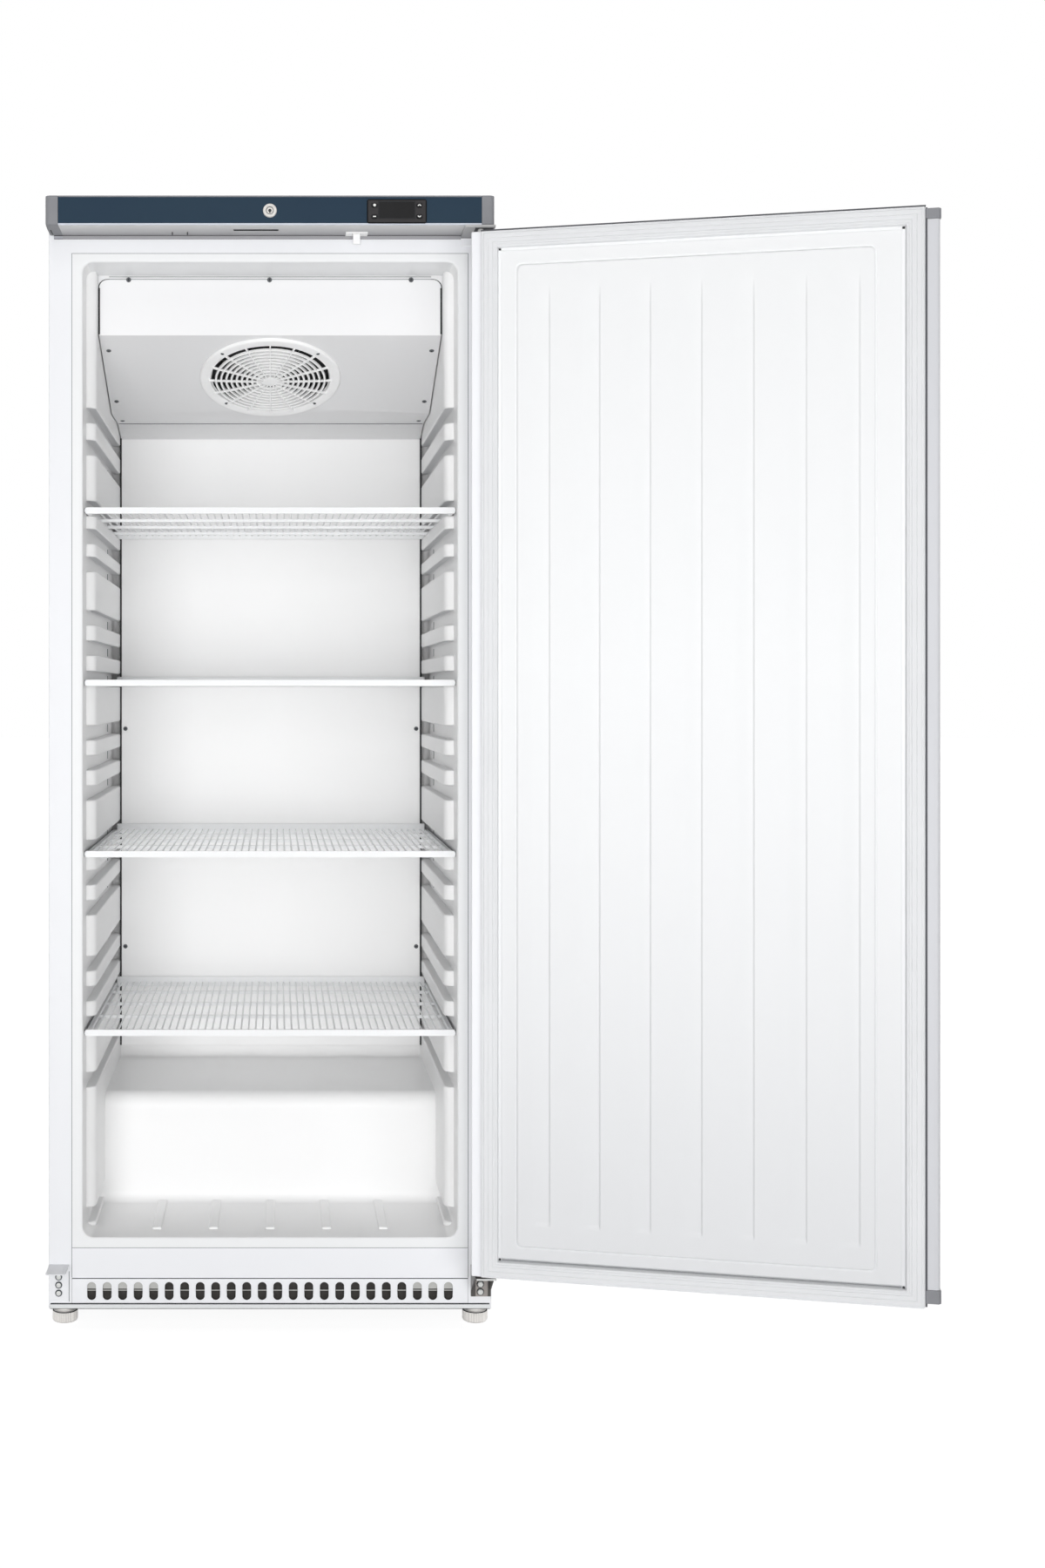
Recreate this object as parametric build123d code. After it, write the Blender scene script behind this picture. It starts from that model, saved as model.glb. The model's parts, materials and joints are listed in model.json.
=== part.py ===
from build123d import *
import os

# Upright refrigerator with one solid door, shown wide open.
# Drawn from the cabinet's front plane (y = 0, inwards is +y), its centre (x = 0) and the floor (z = 0),
# and written with the origin at the centre of the cabinet's footprint.

# Cabinet shell
WIDTH = 770
DEPTH = 620
TOP = 1948
BASE = 33
SHEET = 1
FLANGE = 40
RAIL_LOW = 1869

# Food compartment
HALF_IN = 326
FLOOR = 157
CEILING = 1854
LINER_BACK = 575
LINER_WALL = 2.5
MOUTH_RADIUS = 18
HUMP_FRONT = 225
HUMP_TOP = 357
HUMP_RADIUS = 28

# Shelf runners: raised pads on the side walls, with grooves between them
PAD_FRONT = 60
PAD_HALF = 308.7
PAD_ROUND = 17
GROOVE = 26
GROOVE_GROUPS = ((165.5, 1, 0), (405, 1, 0), (504, 3, 53.5), (710, 3, 53.5),
                 (914, 3, 53.3), (1117, 3, 54), (1320, 3, 49.5), (1527, 2, 57))

# Machine bay
BAY_FRONT = 270
BAY_TOP = 316
BAY_FLOOR = 35
AIR_TOP = 100

CONDENSER_FAN = Plane(origin=(52, 445, 150), x_dir=(0, 1, 0), z_dir=(-1, 0, 0))

# Feet and rear rollers
FOOT_X = 361
FOOT_Y = 40
STUD = 5
ROLLER_X = 340
ROLLER_Y = 575
ROLLER_RADIUS = 15

# Wire shelves
SHELF_WIDTH = 650
SHELF_DEPTH = 530
SHELF_FRONT = 20
SHELF_FLOORS = (1419, 1117, 817, 504)
WIRE = 3.2
WIRE_PITCH = 12.7
WIRE_COUNT = 49
RIM = 8

# Header
HEADER_FRONT = -72
HEADER_LOW = 1900
HEADER_HIGH = 1950
CAP_INNER = 360.5
CAP_OUTER = 382.5
LOCK_Z = 1924
CONTROL_X = 215.8
CONTROL_Z = 1922.5
SWITCH_X = 150
SWITCH_AXIS_Y = -17.5
SWITCH_AXIS_Z = 1908
BUTTONS = {"button_upper_left": (-38, 10), "button_lower_left": (-38, -9.2),
           "button_upper_right": (38.3, 10), "button_lower_right": (38.3, -9.2)}

# Door leaf as it stands when closed, its hinge axis and the angle it is opened to
LEAF_LEFT = -353
LEAF_RIGHT = 371
LEAF_LOW = 123.5
LEAF_HIGH = 1880
LEAF_BACK = -12
HANDLE_LEFT = -376
SEAL_LEFT = -351
SEAL_RIGHT = 354
SEAL_LOW = 125
SEAL_HIGH = 1878
SEAL_WIDTH = 30
HINGE_X = 360
HINGE_Y = -60
OPEN_ANGLE = 167.4
BUSH_UPPER = 10
BUSH_LOWER = 11.5
BRACKET_X = (349.5, 384.5)
LOWER_FLANGE = 110
UPPER_PLATE = 1896
STRIKE_X = (-41, 11)
STRIKE_Y = (-45, -30)
STRIKE_LOW = 1860

# Evaporator cover, with its side view as (y, z), and its fan, square to the long slope and facing down
COVER_HALF = 307
FAN_PLACE = 0.522
GUARD = 131
GUARD_SPAN = 111
GUARD_DEPTH = 6
COVER_LINE = ((115, 1846), (97, 1846), (97, 1746), (344, 1644.5), (480, 1645), (551, 1625))
SLOPE = Vector(0, *COVER_LINE[3]) - Vector(0, *COVER_LINE[2])
FAN = Plane(origin=Vector(0, *COVER_LINE[2]) + SLOPE * FAN_PLACE, x_dir=(1, 0, 0), z_dir=SLOPE.cross(Vector(1, 0, 0)))

os.makedirs("parts", exist_ok=True)


def block(x, y, z):
    """A box from its low and high value along each axis."""
    centre = [(a + b) / 2 for a, b in (x, y, z)]
    return Pos(*centre) * Box(*[abs(b - a) for a, b in (x, y, z)])


def along_x(face, x0, x1):
    """A face drawn in (y, z), extruded from x0 to x1."""
    return extrude(Plane.YZ.offset(x0) * face, x1 - x0)


def along_y(face, y0, y1):
    """A face drawn in (x, z), extruded from y0 to y1."""
    return extrude(Plane.XZ.offset(-y0) * face, y0 - y1)


def along_z(face, z0, z1):
    """A face drawn in (x, y), extruded from z0 to z1."""
    return extrude(Plane.XY.offset(z0) * face, z1 - z0)


def outline(*points):
    return make_face(Polyline(*points, close=True))


def rect(low, high):
    """A rectangle from its low corner to its high corner."""
    centre = ((low[0] + high[0]) / 2, (low[1] + high[1]) / 2)
    return Pos(*centre) * Rectangle(high[0] - low[0], high[1] - low[1])


def round_rect(low, high, radius):
    centre = ((low[0] + high[0]) / 2, (low[1] + high[1]) / 2)
    return Pos(*centre) * RectangleRounded(high[0] - low[0], high[1] - low[1], radius)


def bevel_rect(low, high, cut):
    """A rectangle with its corners cut off."""
    (x0, y0), (x1, y1) = low, high
    return outline((x0 + cut, y0), (x1 - cut, y0), (x1, y0 + cut), (x1, y1 - cut),
                   (x1 - cut, y1), (x0 + cut, y1), (x0, y1 - cut), (x0, y0 + cut))


def slot(length, width):
    """A slot lying along x, with three flat sides round each end."""
    return bevel_rect((-length / 2, -width / 2), (length / 2, width / 2), width * 0.29)


def bore(radius, sides=16):
    """A hole with flat sides that clears the radius."""
    return RegularPolygon(radius, sides, major_radius=False)


def prism(radius, sides, height):
    """An upright prism centred on the origin, with its corners on the radius."""
    return extrude(RegularPolygon(radius, sides), height / 2, both=True)


def drum(radius, sides, z0, z1, bevel):
    """A many-sided upright body with its upper and lower rims bevelled."""
    body = Pos(0, 0, (z0 + z1) / 2) * prism(radius, sides, z1 - z0)
    rims = body.edges().filter_by(GeomType.LINE).group_by(Axis.Z)
    return chamfer(rims[-1] + rims[0], bevel)


def arc_points(centre, radius, start, end, steps):
    """Points of an arc, for a bend made in flat steps."""
    turns = [start + (end - start) * i / steps for i in range(steps + 1)]
    spokes = [Vector(radius, 0).rotate(Axis.Z, turn) for turn in turns]
    return [(centre[0] + spoke.X, centre[1] + spoke.Y) for spoke in spokes]


def rod_x(x0, x1, y, z, face):
    return along_x(Pos(y, z) * face, x0, x1)


def rod_y(y0, y1, x, z, face):
    return along_y(Pos(x, z) * face, y0, y1)


def rod_z(z0, z1, x, y, face):
    return along_z(Pos(x, y) * face, z0, z1)


def opened(shape):
    """Turns a door piece about the hinge from closed to where the door stands."""
    return Pos(HINGE_X, HINGE_Y, 0) * Rot(0, 0, OPEN_ANGLE) * Pos(-HINGE_X, -HINGE_Y, 0) * shape


def write(name, shape):
    export_step(Pos(0, -DEPTH / 2, 0) * shape, f"parts/{name}.step")


def mirrored(shape):
    return mirror(shape, Plane.YZ)


def group(shapes):
    """Several separate solids of one node."""
    return Compound([shape.solid() for shape in shapes])


# Liner

def groove_floors():
    return [low + i * pitch for low, count, pitch in GROOVE_GROUPS for i in range(count)]


def pad_levels():
    """The low and high z of each pad, between one groove and the next."""
    floors = groove_floors()
    lows = [FLOOR - 20] + [z + GROOVE for z in floors]
    highs = floors + [CEILING + 20]
    return list(zip(lows, highs))


def pads(inset):
    """Raised pads of both side walls, shrunk by the inset on every side."""
    wall = HALF_IN + 9
    front = PAD_FRONT + inset
    root = PAD_HALF + PAD_ROUND
    face = PAD_HALF + inset
    nose = arc_points((root, PAD_FRONT + PAD_ROUND), root - face, 180, 270, 1 if inset else 3)
    plan = outline(*nose, (wall, front), (wall, LINER_BACK + 20), (face, LINER_BACK + 20))
    right = [along_z(plan, low + inset, high - inset) for low, high in pad_levels()]
    return right + [mirrored(pad) for pad in right]


def bay_outline(inset):
    """Side view of the floor and of the hump over the machine bay, as the liner covers them."""
    front = HUMP_FRONT + inset
    top = HUMP_TOP - inset
    radius = HUMP_RADIUS - inset
    low = Polyline((front, top - radius), (front, FLOOR - inset), (-20, FLOOR - inset), (-20, 20),
                   (LINER_BACK + 20, 20), (LINER_BACK + 20, top), (front + radius, top))
    turn = RadiusArc((front + radius, top), (front, top - radius), -radius)
    return make_face(low + turn)


def cavity(inset):
    """The space in the liner, grown outwards by the inset."""
    half = HALF_IN + inset
    mouth = round_rect((-half, FLOOR - inset), (half, CEILING + inset), MOUTH_RADIUS + inset)
    room = along_y(mouth, -1 if inset == 0 else 0, LINER_BACK + inset)
    return room - along_x(bay_outline(inset), -half - 5, half + 5) - pads(inset)


def floor_ribs():
    ribs = [block((x - 8.5, x + 8.5), (47, HUMP_FRONT + 1), (FLOOR - 1, FLOOR + 4)) for x in range(-200, 201, 100)]
    return ribs


def inner_liner():
    wall = cavity(LINER_WALL) - cavity(0)
    edge = rect((-344.5, 139), (344.5, RAIL_LOW))
    edge -= round_rect((-HALF_IN, FLOOR), (HALF_IN, CEILING), MOUTH_RADIUS)
    return wall + along_y(edge, 0, LINER_WALL) + floor_ribs()


# Shell and insulation

def outer_shell():
    """Two side panels with front flanges, and the top panel with the rail over the opening folded down."""
    half = WIDTH / 2
    side = block((half - SHEET, half), (0, DEPTH), (BASE, TOP))
    side += block((half - FLANGE, half), (0, SHEET), (BASE, TOP))
    top = block((-half + SHEET, half - SHEET), (SHEET, DEPTH), (TOP - SHEET, TOP))
    top += block((-half + FLANGE, half - FLANGE), (0, SHEET), (RAIL_LOW, TOP))
    return group([side, mirrored(side), top])


def pad_cores():
    """Foam in the pads of the right wall, in front of the hump and above it."""
    wall = HALF_IN + LINER_WALL
    top = HUMP_TOP - LINER_WALL
    front = block((0, wall), (0, HUMP_FRONT + LINER_WALL), (FLOOR - LINER_WALL, top))
    above = block((0, wall), (0, LINER_BACK + LINER_WALL), (top, CEILING + LINER_WALL))
    right = pads(LINER_WALL)[:len(pad_levels())]
    cores = [pad & front for pad, (low, high) in zip(right, pad_levels()) if low + LINER_WALL < top]
    return cores + [pad & above for pad, (low, high) in zip(right, pad_levels()) if high - LINER_WALL > top]


def insulation():
    """Foam slabs of the side walls with the cores of their pads, the top, the back, the floor and the hump."""
    edge = HALF_IN + LINER_WALL
    half = WIDTH / 2 - SHEET
    front, back = LINER_WALL, DEPTH - SHEET
    high = TOP - SHEET
    sides = [block((edge, half), (front, back), (BAY_TOP, high)), block((edge, half), (front, BAY_FRONT), (AIR_TOP, BAY_TOP))]
    sides += pad_cores()
    sides += [mirrored(slab) for slab in sides]
    below = bay_outline(LINER_WALL)
    hump = HUMP_FRONT + LINER_WALL
    floors = [below & rect((front, AIR_TOP), (hump, HUMP_TOP)), below & rect((hump, AIR_TOP), (BAY_FRONT, HUMP_TOP)),
              below & rect((BAY_FRONT, BAY_TOP), (LINER_BACK + LINER_WALL, HUMP_TOP))]
    top = block((-edge, edge), (front, back), (CEILING + LINER_WALL, high))
    rear = block((-edge, edge), (LINER_BACK + LINER_WALL, back), (BAY_TOP, CEILING + LINER_WALL))
    return group(sides + [top, rear] + [along_x(face, -edge, edge) for face in floors])


def bay_panel():
    """Folded sheet under the floor, up the front of the machine bay and over it."""
    side = outline((LINER_WALL, AIR_TOP - SHEET), (BAY_FRONT + SHEET, AIR_TOP - SHEET),
                   (BAY_FRONT + SHEET, BAY_TOP - SHEET), (DEPTH - SHEET, BAY_TOP - SHEET),
                   (DEPTH - SHEET, BAY_TOP), (BAY_FRONT, BAY_TOP), (BAY_FRONT, AIR_TOP), (LINER_WALL, AIR_TOP))
    return along_x(side, -384, 384)


def front_strip(low, high):
    """A front plate between the side flanges, with a tab behind each of them."""
    plate = block((-344.5, 344.5), (0, 1.5), (low, high))
    tab = block((343, 366), (SHEET, 2.2), (low, high))
    return plate + tab + mirrored(tab)


def lower_cross_rail():
    return front_strip(86, 139) + block((-344, 344), (1, 20), (86, 87.5))


def kick_grille():
    slots = [Pos(-310.5 + 27 * i, 63.5) * Rot(0, 0, 90) * slot(31.4, 15.6) for i in range(24)]
    return front_strip(42, 85) - [along_y(gap, -1, 3) for gap in slots]


def base_frame():
    """Floor pan with its front rail, threaded foot bushes and slots for the rear rollers."""
    pan = block((-383.5, 383.5), (1.5, 619), (BASE, BAY_FLOOR))
    pan += block((-344.5, 344.5), (0, 1.5), (BASE, 42))
    for x in (-FOOT_X, FOOT_X):
        pan += rod_z(BAY_FLOOR, 50, x, FOOT_Y, RegularPolygon(11, 12))
        pan -= rod_z(0, 60, x, FOOT_Y, bore(STUD + 0.08))
    return pan


# Feet and rollers

def foot(x):
    """Levelling foot: a bevelled base under its lock nut, on the stud."""
    nut = rod_z(27, 31.5, 0, 0, RegularPolygon(9, 6))
    stud = rod_z(31.5, 56, 0, 0, RegularPolygon(STUD, 16))
    return Pos(x, FOOT_Y, 0) * (drum(22.2, 24, 0, 27, 2.5) + nut + stud)


def roller_bracket(x):
    """An inverted channel under the pan, with the axle through its cheeks."""
    cheek = block((10.2, 12.2), (-14, 14), (5, BASE))
    top = block((-12.2, 12.2), (-14, 14), (31, BASE))
    axle = rod_x(-12.2, 12.2, 0, ROLLER_RADIUS, RegularPolygon(3, 8))
    return Pos(x, ROLLER_Y, 0) * (top + cheek + mirrored(cheek) + axle)


def roller(x):
    return Pos(x, ROLLER_Y, 0) * rod_x(-9, 9, 0, ROLLER_RADIUS, RegularPolygon(ROLLER_RADIUS, 24) - bore(3.08, 12))


# Evaporator compartment

def evaporator_cover():
    """Folded sheet from the ceiling down the slope to the top of the back panel, with the fan opening."""
    side = make_face(offset(Polyline(*COVER_LINE), 1.2, side=Side.LEFT, kind=Kind.INTERSECTION))
    cover = along_x(side, -COVER_HALF, COVER_HALF)
    cover &= along_y(round_rect((-COVER_HALF, 1500), (COVER_HALF, 1846), 15), 0, DEPTH)
    return cover - FAN.location * prism(GUARD_SPAN - 1, 24, 40)


def back_duct_panel():
    plate = block((-COVER_HALF, COVER_HALF), (551, 552.5), (383, 1623))
    return plate + block((-COVER_HALF, COVER_HALF), (552, 573), (383, 384.5))


def evaporator_coil():
    core = block((-250, 250), (405, 535), (1672, 1842))
    gaps = [block((x - 20, x + 20), (404, 536), (1680, 1834)) for x in range(-220, 221, 55)]
    return core - gaps


def fan_grille():
    """Round guard, slightly domed, of rings carried by radial ribs inside a broad flange."""
    guard = Pos(0, 0, GUARD_DEPTH / 2) * (prism(GUARD, 24, GUARD_DEPTH) - prism(GUARD_SPAN, 24, GUARD_DEPTH))
    for radius, height in ((80, 4.8), (48, 6.8)):
        guard += Pos(0, 0, height) * (prism(radius + 1.5, 12, 4) - prism(radius - 1.5, 12, 4))
    guard += Pos(0, 0, 8) * prism(15, 12, 4)
    rib = outline((0, 6), (GUARD_SPAN + 0.5, 1), (GUARD_SPAN + 0.5, 4), (0, 9))
    rib = extrude(Plane.XZ.offset(-1) * rib, 2)
    guard += [Rot(0, 0, 60 * i) * rib for i in range(6)]
    return FAN.location * guard


def fan_shroud():
    """Mounting ring on the back of the cover, with three legs up to the motor ring."""
    ring = Pos(0, 0, -10.7) * (prism(126, 24, 19) - prism(119, 24, 19))
    hub = Pos(0, 0, -55) * (prism(44, 16, 10) - prism(40, 16, 10))
    leg = block((42, 125), (-4, 4), (-60, -50)) + block((119.5, 125), (-4, 4), (-60, -18))
    return FAN.location * (ring + hub + [Rot(0, 0, 30 + 120 * i) * leg for i in range(3)])


def fan_motor():
    return FAN.location * (Pos(0, 0, -62) * prism(40, 16, 44) + Pos(0, 0, -30) * prism(3, 8, 30))


def propeller(tip, hub, height, bore_radius):
    """A hub with five flat blades set at an angle, bored for its shaft, turning about z."""
    half = height * 0.95
    blade = outline((hub - 4, -half * 0.8), (tip * 0.9, -half), (tip, 0), (tip * 0.9, half), (hub - 4, half * 0.8))
    blade = Pos(0, 0, -0.9) * extrude(blade, 1.8)
    wheel = prism(hub, 16, height) + [Rot(0, 0, 72 * i) * Rot(28, 0, 0) * blade for i in range(5)]
    return wheel - extrude(bore(bore_radius, 12), height, both=True)


def fan_blades():
    return FAN.location * Pos(0, 0, -24) * propeller(108, 24, 24, 3.06)


# Header

def header_housing():
    """Hollow box across the cabinet's front, with the cam slot and switch opening underneath."""
    box = block((-CAP_INNER, CAP_INNER), (-70, 0), (HEADER_LOW, HEADER_HIGH))
    box -= block((-CAP_INNER + 2, CAP_INNER - 2), (-71, -2), (HEADER_LOW + 2, HEADER_HIGH - 2))
    box += block((-CAP_INNER, 330), (-2, 0), (1894, HEADER_LOW + 1))
    box -= block((-63, 15), (-42, -33), (1890, 1910))
    return box - block((SWITCH_X - 11.5, SWITCH_X + 11.5), (-24.5, -7.5), (1890, 1910))


def header_fascia():
    plate = block((-CAP_INNER, CAP_INNER), (HEADER_FRONT, -70), (HEADER_LOW, HEADER_HIGH))
    plate -= rod_y(-80, -60, 0, LOCK_Z, RegularPolygon(10, 16))
    return plate - block((CONTROL_X - 44, CONTROL_X + 44), (-80, -60), (CONTROL_Z - 16, CONTROL_Z + 16))


def end_cap():
    plan = outline((CAP_INNER, HEADER_FRONT), (CAP_INNER + 3, HEADER_FRONT), (CAP_OUTER, -63), (CAP_OUTER, 0), (CAP_INNER, 0))
    return along_z(plan, HEADER_LOW, HEADER_HIGH)


def controller_housing():
    """Black bezel in front of the fascia, with its case behind it and four button wells."""
    face = bevel_rect((CONTROL_X - 50.8, CONTROL_Z - 20.5), (CONTROL_X + 50.8, CONTROL_Z + 20.5), 2.4)
    case = along_y(face, -75, HEADER_FRONT)
    case += block((CONTROL_X - 43.8, CONTROL_X + 43.8), (HEADER_FRONT, -25), (CONTROL_Z - 15.8, CONTROL_Z + 15.8))
    case -= block((CONTROL_X - 30.4, CONTROL_X + 30.4), (-76, -73.5), (CONTROL_Z - 12, CONTROL_Z + 16))
    for dx, dz in BUTTONS.values():
        case -= along_y(Pos(CONTROL_X + dx, CONTROL_Z + dz) * slot(10, 7.2), -76, -70)
    return case


def display_window():
    return block((CONTROL_X - 30.3, CONTROL_X + 30.3), (-75, -73.5), (CONTROL_Z - 11.9, CONTROL_Z + 15.9))


def button(dx, dz):
    return along_y(Pos(CONTROL_X + dx, CONTROL_Z + dz) * slot(9.4, 6.6), -76, -71.5)


def lock_housing():
    ring = rod_y(-75, HEADER_FRONT, 0, LOCK_Z, RegularPolygon(12, 24))
    ring += rod_y(HEADER_FRONT, -48, 0, LOCK_Z, RegularPolygon(9.9, 16))
    return ring - rod_y(-80, -40, 0, LOCK_Z, bore(6.5))


def lock_barrel():
    barrel = rod_y(-74.5, -39, 0, LOCK_Z, RegularPolygon(6.43, 16))
    return barrel - block((-0.8, 0.8), (-75, -66), (LOCK_Z - 4, LOCK_Z + 4))


def lock_cam():
    """Flat cam behind the barrel, lying to the left; it turns down into the top of the door."""
    return along_y(Pos(-25, LOCK_Z) * slot(62, 12), -39, -36)


def door_switch_body():
    x0, x1 = SWITCH_X - 19, SWITCH_X + 19
    body = block((x0, x1), (-26, -4), (1898, HEADER_LOW))
    body += block((SWITCH_X - 11, SWITCH_X + 11), (-24, -8), (1899, 1918))
    body -= block((SWITCH_X - 7, SWITCH_X + 7), (-22.5, -9.5), (1890, 1915))
    return body - rod_x(x0, x1, SWITCH_AXIS_Y, SWITCH_AXIS_Z, bore(1.58, 8))


def switch_lever():
    """Hanging tab on its own small trunnion pin."""
    tab = block((SWITCH_X - 6, SWITCH_X + 6), (-19, -16), (1881, 1908))
    return tab + rod_x(SWITCH_X - 10.5, SWITCH_X + 10.5, SWITCH_AXIS_Y, SWITCH_AXIS_Z, RegularPolygon(1.5, 8))


# Hinges and brackets

def lower_hinge_bracket():
    """Steel angle bolted to the lower right front, with side gussets and the pin's collar on its flange."""
    plate = block(BRACKET_X, (-3, 0), (55, LOWER_FLANGE))
    plate += block(BRACKET_X, (-78, 0), (LOWER_FLANGE - 3, LOWER_FLANGE))
    side = outline((-3, LOWER_FLANGE - 2), (-62, LOWER_FLANGE - 2), (-3, 66))
    for x in (BRACKET_X[0], BRACKET_X[1] - 2.5):
        plate += along_x(side, x, x + 2.5)
    return plate + rod_z(LOWER_FLANGE - 0.5, 120.8, HINGE_X, HINGE_Y, RegularPolygon(10, 16))


def upper_hinge_bracket():
    plate = block((332, 384), (-3, 0), (1881.5, HEADER_LOW))
    return plate + block((332, 384), (-74, 0), (UPPER_PLATE, HEADER_LOW))


def hinge_pins_and_bolts():
    """The lower and upper pins, and the heads of the lower bracket's two bolts."""
    pins = [rod_z(120.8, 140, HINGE_X, HINGE_Y, Circle(6)), rod_z(1867, UPPER_PLATE, HINGE_X, HINGE_Y, Circle(5))]
    heads = [along_y(Pos(365.8, z) * RegularPolygon(5.5, 6), -7, -3) for z in (63.5, 77)]
    return group(pins + heads)


def left_corner_bracket():
    plate = block((-384.5, -349.5), (-2, 0), (48, LOWER_FLANGE))
    plan = outline((-384.5, 0), (-384.5, -50), (-380.5, -54), (-353.5, -54), (-349.5, -50), (-349.5, 0))
    flange = along_z(plan, LOWER_FLANGE - 2, LOWER_FLANGE)
    return plate + flange


# Machine bay

def compressor():
    """Welded dome with a rim, a foot plate and a terminal cover."""
    body = drum(78, 16, 45, 212, 30) + rod_z(118, 124, 0, 0, RegularPolygon(82, 16))
    body += rod_z(211, 222, 0, 0, RegularPolygon(34, 16))
    body += block((-95, 95), (-62, 62), (41, 46))
    body += block((74, 96), (-22, 22), (110, 165))
    return Pos(-200, 450, 0) * body


def compressor_mounts():
    spots = [(-200 + dx, 450 + dy) for dx in (-82, 82) for dy in (-50, 50)]
    return group([rod_z(BAY_FLOOR, 41, x, y, RegularPolygon(9, 8)) for x, y in spots])


def condenser_coil():
    core = block((70, 125), (300, 590), (BAY_FLOOR, 262))
    gaps = [block((69, 126), (y - 10, y + 10), (43, 254)) for y in range(317, 581, 32)]
    return core - gaps


def condenser_shroud():
    """Pressed plate beside the condenser with a round throat and three motor arms."""
    plate = block((68, 70), (300, 590), (BAY_FLOOR, 262)) - rod_x(60, 80, 445, 150, RegularPolygon(92, 24))
    throat = Pos(0, 0, 8) * (prism(95, 24, 48) - prism(92, 24, 48))
    arm = block((36, 94), (-5, 5), (26, 32))
    hub = Pos(0, 0, 34) * (prism(39, 16, 16) - prism(35, 16, 16))
    return plate + CONDENSER_FAN.location * (throat + hub + [Rot(0, 0, 90 + 120 * i) * arm for i in range(3)])


def condenser_fan_motor():
    return CONDENSER_FAN.location * (Pos(0, 0, 44) * prism(35, 16, 38) + Pos(0, 0, 12) * prism(3, 8, 26))


def condenser_fan_blades():
    return CONDENSER_FAN.location * Pos(0, 0, 8) * propeller(86, 24, 22, 3.06)


def drip_tray():
    tray = block((160, 350), (300, 590), (BAY_FLOOR, 80))
    return tray - block((162.5, 347.5), (302.5, 587.5), (BAY_FLOOR + 2.5, 81))


def electrical_box():
    """Terminal box on the front of the bay, with the mains inlet gland on its rear face."""
    box = block((190, 320), (BAY_FRONT + SHEET, 330), (175, 255))
    gland = rod_y(330, 344, 225, 215, RegularPolygon(11, 12))
    return box + gland - rod_y(322, 350, 225, 215, RegularPolygon(5, 12))


def pipe(points, radius):
    """A pipe with mitred bends."""
    route = Polyline(*points)
    start = Plane(origin=route @ 0, z_dir=route % 0)
    return sweep(start * RegularPolygon(radius, 8), path=route, transition=Transition.RIGHT)


def suction_pipe():
    return pipe([(-104, 450, 150), (-60, 450, 150), (-60, 450, BAY_TOP - SHEET)], 5)


def discharge_pipe():
    return pipe([(-104, 438, 124), (-70, 438, 124), (-70, 290, 124), (97, 290, 124), (97, 300, 124)], 3)


# Door, drawn closed

def door_cuts():
    """Room in the leaf for the hinge bushes and the lock strike."""
    upper = rod_z(1864, 1885, HINGE_X, HINGE_Y, RegularPolygon(BUSH_UPPER, 12))
    lower = rod_z(120, 143, HINGE_X, HINGE_Y, RegularPolygon(BUSH_LOWER, 12))
    return [upper, lower, block(STRIKE_X, STRIKE_Y, (STRIKE_LOW, 1885))]


def door_outer_skin():
    """Folded steel pan: face, four sides and a narrow return round the seal."""
    pan = block((LEAF_LEFT, LEAF_RIGHT), (HEADER_FRONT, LEAF_BACK), (LEAF_LOW, LEAF_HIGH))
    pan -= block((LEAF_LEFT + 1, LEAF_RIGHT - 1), (HEADER_FRONT + 1, LEAF_BACK - 1), (LEAF_LOW + 1, LEAF_HIGH - 1))
    pan -= block((SEAL_LEFT, SEAL_RIGHT), (LEAF_BACK - 2, 0), (SEAL_LOW, SEAL_HIGH))
    return pan - door_cuts()


def door_insulation():
    foam = block((LEAF_LEFT + 1, LEAF_RIGHT - 1), (HEADER_FRONT + 1, LEAF_BACK - 2.5),
                 (LEAF_LOW + 1, LEAF_HIGH - 1))
    return foam - door_cuts()


def door_inner_panel():
    """Moulded panel with a raised centre, an embossed field and seven sunk flutes."""
    base = block((SEAL_LEFT, SEAL_RIGHT), (LEAF_BACK - 2.5, LEAF_BACK), (SEAL_LOW, SEAL_HIGH))
    left, right = SEAL_LEFT + SEAL_WIDTH, SEAL_RIGHT - SEAL_WIDTH
    low, high = SEAL_LOW + SEAL_WIDTH, SEAL_HIGH - SEAL_WIDTH
    panel = base + along_y(bevel_rect((left, low), (right, high), 3), LEAF_BACK, -7)
    middle = (LEAF_LEFT + LEAF_RIGHT) / 2
    panel += along_y(bevel_rect((middle - 286, 179.5), (middle + 286, 1820), 3), -7.5, -5.5)
    flutes = [Pos(middle + 82.1 * i, 1001) * Rot(0, 0, 90) * slot(1568, 29) for i in range(-3, 4)]
    return panel - [along_y(flute, -8, -5) for flute in flutes]


def seal_frame(inner, outer, y0, y1):
    """One rectangular layer of the seal, between two insets from its outer edge."""
    ring = rect((SEAL_LEFT + outer, SEAL_LOW + outer), (SEAL_RIGHT - outer, SEAL_HIGH - outer))
    ring -= rect((SEAL_LEFT + inner, SEAL_LOW + inner), (SEAL_RIGHT - inner, SEAL_HIGH - inner))
    return along_y(ring, y0, y1)


def door_gasket():
    """Magnetic seal: base strip, folded neck, magnet sleeve and outer lip, mitred round the leaf."""
    seal = seal_frame(29.5, 0.5, LEAF_BACK, -9.5) + seal_frame(21, 8, -9.6, -5.5)
    return seal + seal_frame(24.5, 4.5, -5.6, -0.8) + seal_frame(2.5, 0.5, -9.6, -3.5)


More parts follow.
